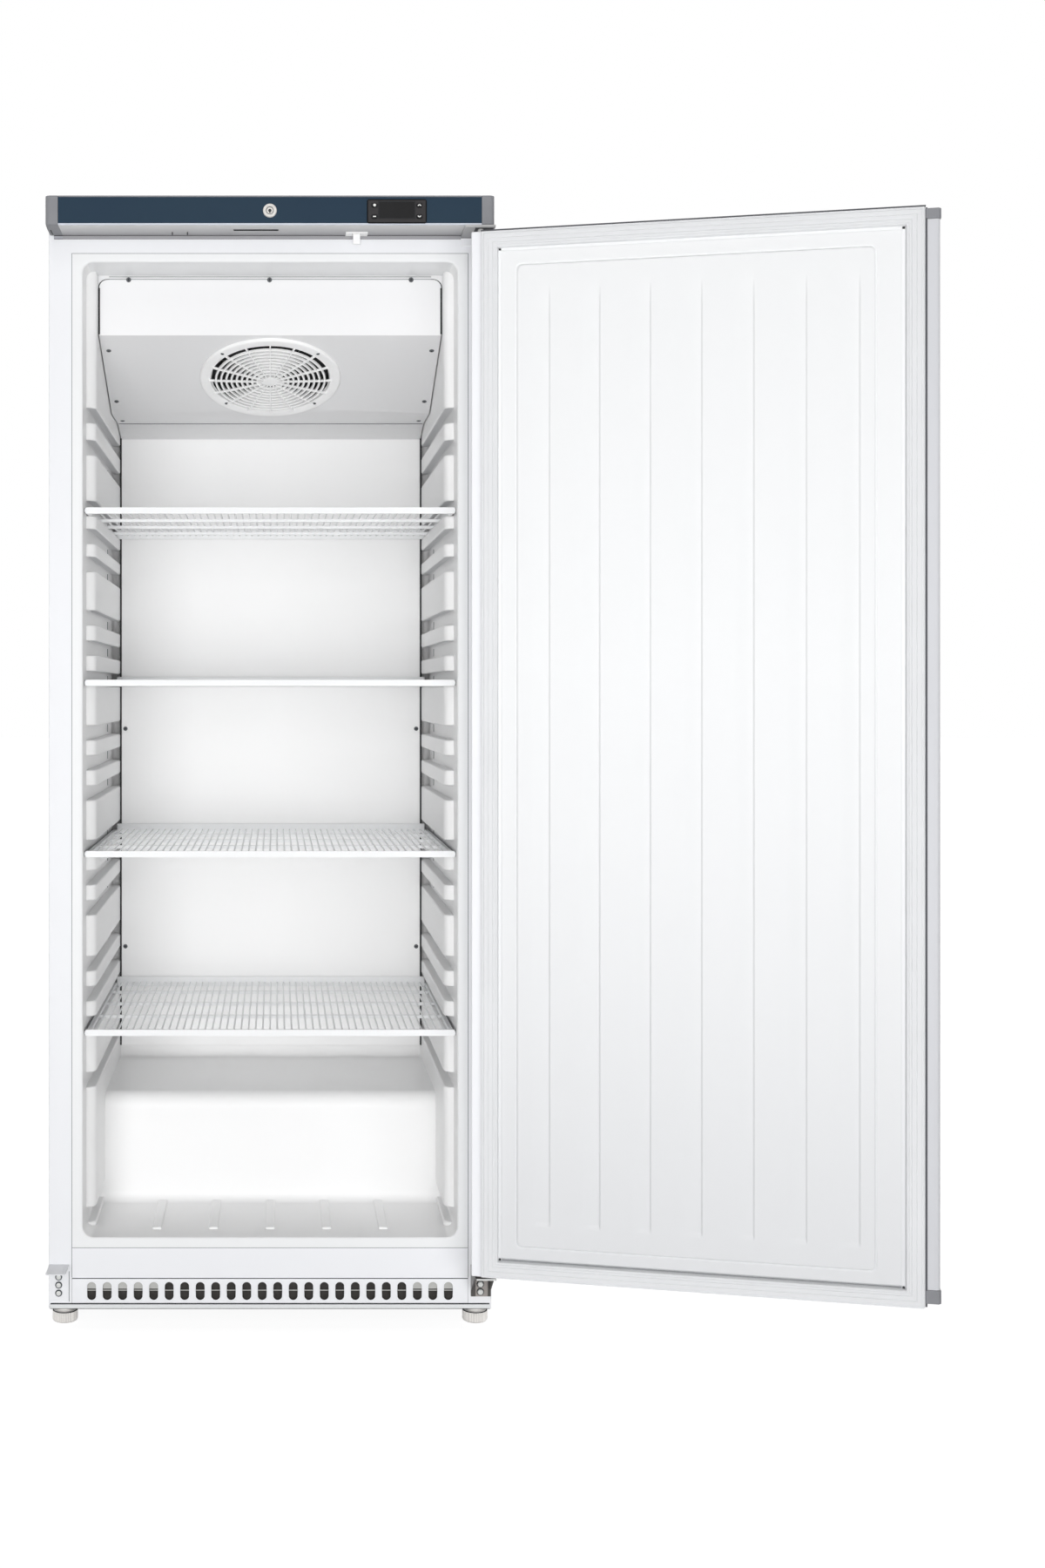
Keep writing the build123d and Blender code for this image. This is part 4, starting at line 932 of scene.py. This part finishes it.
# Hinges and corner brackets. The door stands on a pin in a welded steel angle at the lower right and hangs
# from a pin in a plate under the header. The lower left corner has a white pressed bracket with a flange.

dark_steel = Finish("hinge_steel", (92, 90, 88), 0.35, Metallic=0.35)
# Painted light and shade: the hinge angle's front plate below its flange takes a lighter grey, and the rest
# of the steel the dark grey of its shaded sides.
across = dark_steel.axis("X")
plate = (across > 0.3575) - (across > 0.3785) - (dark_steel.axis("Z") > 0.1045)
dark_steel.feed("Base Color", dark_steel.blend(plate, dark_steel.shade(1), tone(166, 160, 156)))
dark_steel.polish(0.25, 0.42, 60)
dressed("lower_hinge_bracket", dark_steel, "zinc_steel", 0.6)
# Painted shade: above the header's rear flange the upper hinge bracket takes the grey that darkens towards
# the cabinet, as under the header; below it, the shell's white.
bracket_white_and_shade = Finish("upper_bracket_coat", (200, 198, 196), 0.45, Specular_IOR_Level=0.3)
bracket_white_and_shade.feed("Base Color", bracket_white_and_shade.blend(bracket_white_and_shade.axis("Z") > (HEADER_LOW - 5.6) / 1000, coat.colour,
                                           painted_shade_inwards(bracket_white_and_shade, 190, 150)))
bracket_white_and_shade.polish(0.4, 0.5, 30)
dressed("upper_hinge_bracket", bracket_white_and_shade, "white_steel", 0.5)
dressed("left_corner_bracket", coat, "white_steel", 0.7)
# Painted highlight: a near-white, barely metallic grey stands for the glints on the hinge pins and bolts, on
# the centres of the left bracket's screws and along the front edge of the hinge flange.
highlight_white = Finish("painted_highlight_bolts", (225, 226, 224), 0.3, Metallic=0.2)
highlight_white.polish(0.24, 0.36, 300).mottle(0.03, 200)
# Painted shade: dark grey domes round the screw heads on the left bracket and the bolt heads on the hinge
# angle stand for the shade round them.
ring_shade_grey = Finish("ring_shade_grey", (70, 76, 78), 0.4, Metallic=0.3).polish(0.3, 0.5, 200)
dressed("hinge_pins_and_bolts", highlight_white, "zinc_steel", 1.6, 3)
bm, rings = bmesh.new(), bmesh.new()
for level in (60.9, 74.9, 88.9):
    lie = lying((-367.5, -2, level))
    turned(rings, [(0, 0), (6, 0), (6, 1.4), (5.2, 2.3), (0, 2.3)], lie, 32)
    turned(bm, [(0, 2.2), (4.3, 2.2), (4.1, 2.8), (3.2, 3.3), (1.8, 3.6), (0, 3.7)], lie, 32)
for level in (63.5, 77):
    turned(rings, [(0, 0), (6.4, 0), (6.4, 1), (5.6, 2), (0, 2)], lying((365.8, -3, level)), 32)
piece("left_bracket_screws", bm, highlight_white, "cabinet", "zinc_steel")
piece("bracket_rings", rings, ring_shade_grey, "cabinet", "zinc_steel")
# Painted shadow: a grey strip along the inner edge of the left corner bracket.
blocks("bracket_edge", seam_shadow_grey, "cabinet", "grey_plastic", [((-350, -2.3, 46), (-349, 0.2, 98))])
blocks("hinge_flange_edge", highlight_white, "cabinet", "zinc_steel",
       [((351, -78.4, 107.2), (384, -77.4, 110.2), 0.3)])

# Machine bay. A black hermetic compressor stands on rubber mounts beside a fan-cooled condenser of
# aluminium fins, with copper pipes between them, a drip tray and a terminal box.

COMPRESSOR = mm(-200, 450, 0)

enamel = Finish("black_enamel", (26, 27, 29), 0.32, Coat_Weight=0.25, Coat_Roughness=0.2)
enamel.mottle(0.2, 20).polish(0.26, 0.42, 30).grain(3, 0.02)
copper = Finish("copper_pipe", (190, 122, 84), 0.3, Metallic=1.0).mottle(0.12, 40).polish(0.22, 0.45, 90)
bm = bmesh.new()
turned(bm, [(0, 45), (58, 45), (70, 49), (77, 62), (78, 80), (78, 118), (82, 118), (82, 124), (78, 124),
            (78, 170), (75, 188), (64, 204), (46, 213), (34, 216), (30, 220), (22, 222), (0, 222)],
       Matrix.Translation(COMPRESSOR), 64)
brick(bm, (-295, 388, 41), (-105, 512, 46), 1.5)
brick(bm, (-130, 428, 110), (-104, 472, 165), 4, 3)
piece("compressor_case", bm, enamel, "cabinet", "compressor_black", "compressor")
dressed("compressor_mounts", rubber, "mount_rubber", 1.0)
dressed("condenser_shroud", zinc, "galvanised", 0.3)
dressed("drip_tray", black, "black_plastic", 0.8)
dressed("electrical_box", black, "black_plastic", 1.5, 3)
dressed("refrigerant_pipes", copper, "copper", 1.0, 2)

FIN_COUNT, FIN_PITCH, FIN_START = 70, 4.1, 303.5
blocks("condenser_fins", fins, "cabinet", "fins",
       [((71, y, 38), (124, y + 0.5, 259)) for y in [FIN_START + i * FIN_PITCH for i in range(FIN_COUNT)]]
       + [((70, y, 35), (125, y + 1.5, 262)) for y in (300, 588.5)], "condenser_coil")
bm = bmesh.new()
for column in (84, 111):
    for row in range(8):
        level = 50 + row * 28
        rod(bm, (column, 301, level), (column, 589.5, level), 4.5, 10)
piece("condenser_tubes", bm, copper, "cabinet", "copper")

# Door. A folded white steel pan is filled with foam behind a white moulded inner panel, and hangs on nylon
# bushes. It is drawn closed and swung open about the hinge pins with everything that it carries.

LEAF_LEFT, LEAF_RIGHT, LEAF_LOW, LEAF_HIGH, LEAF_BACK = -353, 371, 123.5, 1880, -12
SEAL_LEFT, SEAL_RIGHT, SEAL_LOW, SEAL_HIGH, SEAL_WIDTH = -351, 354, 125, 1878, 30
HINGE_X, HINGE_Y, OPEN_ANGLE = 360, -60, 167.4

hinge = Matrix.Translation(mm(HINGE_X, HINGE_Y, 0))
swing = hinge @ Matrix.Rotation(math.radians(OPEN_ANGLE), 4, "Z") @ hinge.inverted()

bm = bmesh.new()
brick(bm, (LEAF_LEFT, HEADER_FRONT, LEAF_LOW), (LEAF_RIGHT, LEAF_BACK, LEAF_HIGH), 2, 3)
for side in (SEAL_LEFT + 0.5, SEAL_RIGHT - 0.5):
    cut(bm, mm(side, 0, 0), (1, 0, 0))
for level in (SEAL_LOW + 0.5, SEAL_HIGH - 0.5):
    cut(bm, mm(0, 0, level), (0, 0, 1))
back = mm(0, LEAF_BACK - 0.3, 0).y
drop(bm, lambda c: c.y > back and SEAL_LEFT + 0.5 < c.x * 1000 < SEAL_RIGHT - 0.5
     and SEAL_LOW + 0.5 < c.z * 1000 < SEAL_HIGH - 0.5)
bmesh.ops.transform(bm, matrix=swing, verts=bm.verts)
thicken(piece("door_pan", bm, coat, "door", "white_steel", "door_outer_skin"), 1)

# Door inner panel. One vacuum-formed white sheet with a raised middle, a thin embossed line round its field
# and seven shallow upright flutes with rounded ends, held by the seal's root all round.

FIELD_HALF, FIELD_LOW, FIELD_HIGH, FIELD_CORNER = 286, 179.5, 1820, 10
FLUTES, FLUTE_PITCH, FLUTE_HALF, FLUTE_LOW, FLUTE_HIGH = 7, 82.1, 17, 214, 1790


def levels(*runs):
    """Rising values over runs of (start, end, count)."""
    return sorted({round(start + (end - start) * i / count, 3)
                   for start, end, count in runs for i in range(count + 1)})


def rise(distance, width):
    """Smooth step from 0 to 1 as a distance grows to a width."""
    share = min(max(distance / width, 0), 1)
    return share * share * (3 - 2 * share)


def inside(x, z, half, low, high, corner):
    """How far a point lies inside a round-cornered rectangle about the panel's middle."""
    dx = abs(x) - (half - corner)
    dz = abs(z - (low + high) / 2) - ((high - low) / 2 - corner)
    return corner - math.hypot(max(dx, 0), max(dz, 0)) - min(max(dx, dz), 0)


def panel_height(x, z):
    """Height of the inner panel over the leaf's back, in mm, with x from the seal's middle."""
    height = 5 * rise(inside(x, z, PANEL_HALF, PANEL_LOW, PANEL_HIGH, 4), 5)
    x -= shift
    field = inside(x, z, FIELD_HALF, FIELD_LOW, FIELD_HIGH, FIELD_CORNER)
    height += 1.5 * rise(field, 1.8) - 1.2 * rise(2.4 - abs(field), 1.4)
    flute = min((x - place for place in flute_places), key=abs)
    ends = rise(z - FLUTE_LOW, 10) * rise(FLUTE_HIGH - z, 45)
    return height - 2.6 * rise(FLUTE_HALF + flute, 3.5) * rise(FLUTE_HALF - flute, 30) * ends


PANEL_HALF = (SEAL_RIGHT - SEAL_LEFT) / 2 - SEAL_WIDTH
PANEL_LOW, PANEL_HIGH = SEAL_LOW + SEAL_WIDTH, SEAL_HIGH - SEAL_WIDTH
seal_middle = (SEAL_LEFT + SEAL_RIGHT) / 2
shift = (LEAF_LEFT + LEAF_RIGHT) / 2 - seal_middle
panel_white = Finish("door_panel_white", (234, 235, 236), 0.34, Coat_Weight=0.12, Coat_Roughness=0.25)
panel_white.polish(0.3, 0.4, 7).grain(2.2, 0.008)
# Painted shade: the panel's white darkens towards the bottom.
panel_white.feed("Base Color", panel_white.blend(panel_white.axis("Z") - 0.15, tone(222, 223, 225),
                                                 tone(238, 239, 240)))
flute_places = [i * FLUTE_PITCH for i in range(-(FLUTES // 2), FLUTES // 2 + 1)]
flutes = [shift + place for place in flute_places]
columns = levels((-PANEL_HALF - 3, -PANEL_HALF, 1), (-PANEL_HALF, -PANEL_HALF + 6, 4),
                 (shift - 289, shift - 282, 7), (shift - 280, shift - 274, 2),
                 *[(x - 17, x - 13.5, 5) for x in flutes], *[(x - 12, x + 18, 10) for x in flutes],
                 (shift + 274, shift + 280, 2), (shift + 282, shift + 289, 7),
                 (PANEL_HALF - 6, PANEL_HALF, 4), (PANEL_HALF, PANEL_HALF + 3, 1))
rows = levels((PANEL_LOW - 3, PANEL_LOW, 1), (PANEL_LOW, PANEL_LOW + 6, 4), (176, 183, 7), (186, 192, 2),
              (214, 225, 8), (232, 1740, 12), (1745, 1790, 9), (1806, 1812, 2), (1816, 1823, 7),
              (PANEL_HIGH - 6, PANEL_HIGH, 4), (PANEL_HIGH, PANEL_HIGH + 3, 1))
bm = bmesh.new()
across, up = len(columns) - 1, len(rows) - 1
for vert in bmesh.ops.create_grid(bm, x_segments=across, y_segments=up, size=0.5)["verts"]:
    x, z = columns[round((vert.co.x + 0.5) * across)], rows[round((vert.co.y + 0.5) * up)]
    vert.co = mm(x + seal_middle, LEAF_BACK + panel_height(x, z), z)
bmesh.ops.reverse_faces(bm, faces=bm.faces)
bmesh.ops.transform(bm, matrix=swing, verts=bm.verts)
thicken(piece("door_liner", bm, panel_white, "door", "white_liner", "door_inner_panel", soft=60), 2)

# Painted shade: a grey line along the bottom of the groove round the panel and dark dots at its corners stand
# for the shade in the groove; pale beads fill the rest of it.
bm, dots = bmesh.new(), bmesh.new()
left, right = seal_middle - PANEL_HALF, seal_middle + PANEL_HALF
groove, depth = LEAF_BACK + 0.4, LEAF_BACK + 2.5
fill = bmesh.new()
for x in (left + 1.5, right - 1.5):
    brick(fill, (x - 3, groove, PANEL_LOW), (x + 3, LEAF_BACK + 3.9, PANEL_HIGH), 0.4)
    for level in (PANEL_LOW + 1.5, PANEL_HIGH - 1.5):
        brick(dots, (x - 2, groove, level - 1.8), (x + 2, LEAF_BACK + 5, level + 1.8), 0.8)
brick(fill, (left, groove, PANEL_HIGH - 4), (right, LEAF_BACK + 3.9, PANEL_HIGH + 1), 0.4)
brick(bm, (left, groove, PANEL_LOW - 0.6), (right, depth + 0.9, PANEL_LOW + 1))
for made, name, finish in ((bm, "panel_groove", seam_shadow_grey), (dots, "groove_corners", recess),
                           (fill, "groove_beads", panel_white)):
    bmesh.ops.transform(made, matrix=swing, verts=made.verts)
    piece(name, made, finish, "door", "grey_plastic")

# Door seal. A grey-white flexible profile with a magnet sleeve, a folded neck and an outer lip,
# welded at its four mitred corners and pressed into the groove round the inner panel.

SEAL_PROFILE = ((0.5, 0), (29.5, 0), (29.5, 3.4), (28.6, 4.8), (28, 8.6), (26.8, 9.8), (24.9, 10.2),
                (24.2, 9.5), (23.5, 10.3), (20.8, 10.6), (20.1, 9.6), (19.4, 10.6), (13.4, 10.9), (12.5, 9.9),
                (11.6, 10.9), (6, 11.2), (4.6, 10.4), (4, 8.6), (3.2, 8.6), (2.6, 9.4), (0.9, 9.2), (0.5, 7))

seal_white = Finish("seal_white", (226, 227, 229), 0.55)
seal_white.mottle(0.02, 8).polish(0.48, 0.62, 30).grain(1.5, 0.02)
bm = bmesh.new()
loops = []
for right, top in ((0, 0), (1, 0), (1, 1), (0, 1)):
    corner = []
    for inset, height in SEAL_PROFILE:
        x = SEAL_RIGHT - inset if right else SEAL_LEFT + inset
        z = SEAL_HIGH - inset if top else SEAL_LOW + inset
        corner.append(bm.verts.new(mm(x, LEAF_BACK + height, z)))
    loops.append([bm.edges.new((corner[i - 1], corner[i])) for i in range(len(corner))])
for i in range(4):
    bmesh.ops.bridge_loops(bm, edges=loops[i - 1] + loops[i])
bmesh.ops.recalc_face_normals(bm, faces=bm.faces)
bmesh.ops.transform(bm, matrix=swing, verts=bm.verts)
piece("door_seal", bm, seal_white, "door", "gasket", "door_gasket", soft=40)

# Door handle. A white extruded profile runs the whole height of the free edge, open at the front for the
# fingers, with moulded grey caps on its ends. Nylon bushes, a lock cup and clips sit in the leaf's edges.

handle_white = Finish("handle_white", (207, 208, 212), 0.36, Coat_Weight=0.15, Coat_Roughness=0.2)
handle_white.mottle(0.015, 3).polish(0.3, 0.42, 12, (1, 1, 0.1)).grain(1.2, 0.008, (1, 1, 0.1))
nylon = Finish("grey_nylon", (160, 162, 165), 0.5).mottle(0.05, 60).polish(0.42, 0.58, 50)
dressed("door_handle", handle_white, "white_plastic", 0.5)
dressed("handle_caps", cap_grey, "grey_plastic", 1.2, 3)
dressed("hinge_bushes", nylon, "white_plastic", 0.5)
dressed("lock_strike", nylon, "grey_plastic", 0.4)
clip_and_shade_grey = Finish("clip_and_shade_grey", (92, 93, 97), 0.6, Specular_IOR_Level=0.2).mottle(0.05, 60)
dressed("door_top_clips", clip_and_shade_grey, "grey_plastic", 0.6)
# Painted shadow: dark grey strips along the leaf's top edge and beside the handle stand for the shade there;
# the clips are their own dark grey.
bm = bmesh.new()
brick(bm, (LEAF_LEFT + 0.6, LEAF_BACK - 0.4, LEAF_HIGH - 2.1), (SEAL_RIGHT, LEAF_BACK + 8.8, LEAF_HIGH - 0.3))
brick(bm, (LEAF_LEFT - 3, -14.2, 126), (LEAF_LEFT - 0.2, LEAF_BACK - 0.6, 1878))
bmesh.ops.transform(bm, matrix=swing, verts=bm.verts)
piece("leaf_edge_seams", bm, clip_and_shade_grey, "door", "grey_plastic")

# Shelves. Round steel wires are welded front to back on three cross bars inside a flat rim,
# dipped in white plastic, and each shelf slides in a pair of runner gaps.

SHELF_HALF, SHELF_FRONT, SHELF_BACK, SHELF_FLOORS = 323, 20, 550, (1419, 1117, 817, 504)
CROSS_BARS = (188, 321, 453)
WIRE, WIRE_PITCH, WIRES = 3.2, 12.7, 49

wire_white = Finish("wire_coating", (243, 244, 245), 0.36, Coat_Weight=0.15, Coat_Roughness=0.2)
wire_white.mottle(0.015, 10).polish(0.3, 0.44, 40).grain(1.5, 0.015)
for number, level in enumerate(SHELF_FLOORS, 1):
    bm = bmesh.new()
    for i in range(WIRES):
        x = (i - (WIRES - 1) / 2) * WIRE_PITCH
        rod(bm, (x, SHELF_FRONT + 2, level + 7.6), (x, SHELF_BACK - 2, level + 7.6), WIRE / 2, 8)
    bar = brick(bm, (-SHELF_HALF - 1.6, SHELF_FRONT, level - 0.5),
                (SHELF_HALF + 1.6, SHELF_FRONT + 6, level + 10.5))
    fresh = {e for v in bar for e in v.link_edges if abs(e.verts[0].co.y - e.verts[1].co.y) > 0.004}
    made = rounded(bm, list(fresh), 4, 4)["faces"]
    near = mm(0, SHELF_FRONT + 7, 0).y
    along = [e for e in bm.edges if len(e.link_faces) == 2 and e.calc_face_angle(0) > 1.4
             and abs(e.verts[0].co.y - e.verts[1].co.y) < 1e-6 and e.verts[0].co.y < near
             and len({f in made for f in e.link_faces}) == 1 and e.calc_length() > 0.4]
    rounded(bm, along, 1.4, 3)
    mirrored(bm, (SHELF_HALF - 8, SHELF_FRONT + 1, level), (SHELF_HALF, SHELF_BACK, level + 8), 1.2)
    for y in CROSS_BARS:
        brick(bm, (-SHELF_HALF + 4, y - 3, level + 0.2), (SHELF_HALF - 4, y + 3, level + 6.4), 1.4, 2)
    brick(bm, (-SHELF_HALF, SHELF_BACK - 5, level), (SHELF_HALF, SHELF_BACK, level + 6), 1.2)
    brick(bm, (-SHELF_HALF + 8, SHELF_BACK - 5, level + 5), (SHELF_HALF - 8, SHELF_BACK, level + 20), 1.6, 3)
    piece(f"shelf_wires_{number}", bm, wire_white, f"shelf_{number}", "white_wire", f"wire_shelf_{number}")
    # Painted shadow: thin dark strips along both ends of each shelf stand for the shade in the gaps between
    # the shelf and the runners.
    seams = bmesh.new()
    mirrored(seams, (SHELF_HALF - 0.6, SHELF_FRONT + 7, level + 6.4),
             (SHELF_HALF + 0.6, SHELF_BACK - 2, level + 8.3))
    mirrored(seams, (SHELF_HALF + 1.2, SHELF_FRONT + 1.6, level + 0.6),
             (SHELF_HALF + 2, SHELF_FRONT + 4.4, level + 9.6))
    piece(f"shelf_edges_{number}", seams, shaded_zinc, f"shelf_{number}", "grey_plastic")

# Studio. A white floor keeps the object's shadow under a broad soft light from the front and two from
# behind, and the camera stands at the photograph's place.

FLOOR_REACH = 40
CAMERA_PLACE, CAMERA_LENS, CAMERA_SHIFT = (0.009, -3.410, 1.105), 40.9, (0.1578, -0.0583)
SKY, FRONT_SUN, TOP_SUN, BACK_SUN, LOW_BOX, LEFT_BOX = 0.03, 0.6, 0.3, 1.1, 68, 58
SHADOW_SHARE, GLOW = 0.25, 1.215

floor_mesh = bpy.data.meshes.new("studio_floor")
bm = bmesh.new()
bmesh.ops.create_grid(bm, x_segments=1, y_segments=1, size=FLOOR_REACH)
bm.to_mesh(floor_mesh)
bm.free()
studio = Finish("studio_white", (250, 250, 250), 0.9)
seen = studio.node("ShaderNodeLightPath", output="Is Camera Ray")
glow = studio.node("ShaderNodeEmission", inputs={"Color": (1, 1, 1, 1), "Strength": GLOW})
lit = Number(studio, studio.shader.outputs[0])
mixed = studio.node("ShaderNodeMixShader", inputs={0: seen * (1 - SHADOW_SHARE), 1: lit, 2: glow})
studio.tree.links.new(mixed.socket, studio.tree.nodes["Material Output"].inputs["Surface"])
floor_mesh.materials.append(studio.material)
studio_floor = bpy.data.objects.new("studio_floor", floor_mesh)
bpy.context.scene.collection.objects.link(studio_floor)

world = bpy.data.worlds.new("studio_sky")
bpy.context.scene.world = world
world.use_nodes = True
nodes, links = world.node_tree.nodes, world.node_tree.links
rays = nodes.new("ShaderNodeLightPath")
white_rays = rays.outputs["Is Camera Ray"]
for kind in ("Is Glossy Ray", "Is Transmission Ray"):
    either = nodes.new("ShaderNodeMath")
    either.operation = "MAXIMUM"
    links.new(white_rays, either.inputs[0])
    links.new(rays.outputs[kind], either.inputs[1])
    white_rays = either.outputs[0]
level = nodes.new("ShaderNodeMapRange")
level.inputs["To Min"].default_value = SKY
level.inputs["To Max"].default_value = 1.0
links.new(white_rays, level.inputs["Value"])
links.new(level.outputs[0], nodes["Background"].inputs["Strength"])
nodes["Background"].inputs["Color"].default_value = (1, 1, 1, 1)


def aimed(name, kind, towards, place=(0, 0, 0), **values):
    """A lamp at a place that shines along a direction and shows in no reflection."""
    lamp = bpy.data.lights.new(name, kind)
    for key, value in values.items():
        setattr(lamp, key, value)
    made = bpy.data.objects.new(name, lamp)
    turn = Vector(towards).to_track_quat("-Z", "Y").to_matrix().to_4x4()
    made.matrix_world = Matrix.Translation(place) @ turn
    made.visible_glossy = False
    bpy.context.scene.collection.objects.link(made)


box = {"shape": "RECTANGLE"}
aimed("front_light", "SUN", (0.08, 1, -0.04), energy=FRONT_SUN, angle=math.radians(80))
aimed("top_light", "SUN", (0.05, 1, -0.75), energy=TOP_SUN, angle=math.radians(25))
aimed("low_box", "AREA", (-0.1, 4.5, 0.7), (0.4, -4.5, 0.55), energy=LOW_BOX, size=4, size_y=1, **box)
aimed("left_box", "AREA", (0.8, 5, 0), (-0.6, -5, 1.2), energy=LEFT_BOX, size=2.5, size_y=2, **box)
for side in (-1, 1):
    aimed(f"back_light_{side}", "SUN", (side * 0.9, -0.8, -0.5), energy=BACK_SUN, angle=math.radians(50))

camera = bpy.data.objects.new("camera", bpy.data.cameras.new("camera"))
camera.location, camera.rotation_euler = CAMERA_PLACE, (math.radians(90), 0, 0)
camera.data.lens = CAMERA_LENS
camera.data.shift_x, camera.data.shift_y = CAMERA_SHIFT
camera.data.clip_end = 100
bpy.context.scene.collection.objects.link(camera)
bpy.context.scene.camera = camera
bpy.context.scene.view_settings.view_transform = "Standard"

# Normals. Each piece's are weighted by the size of its faces, so that a flat face stays flat right up to its
# rounded edges, and the edges that were marked sharp stay sharp.

for made in [o for o in bpy.data.objects if o.type == "MESH" and "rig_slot" in o]:
    made.modifiers.new("normals", "WEIGHTED_NORMAL").keep_sharp = True
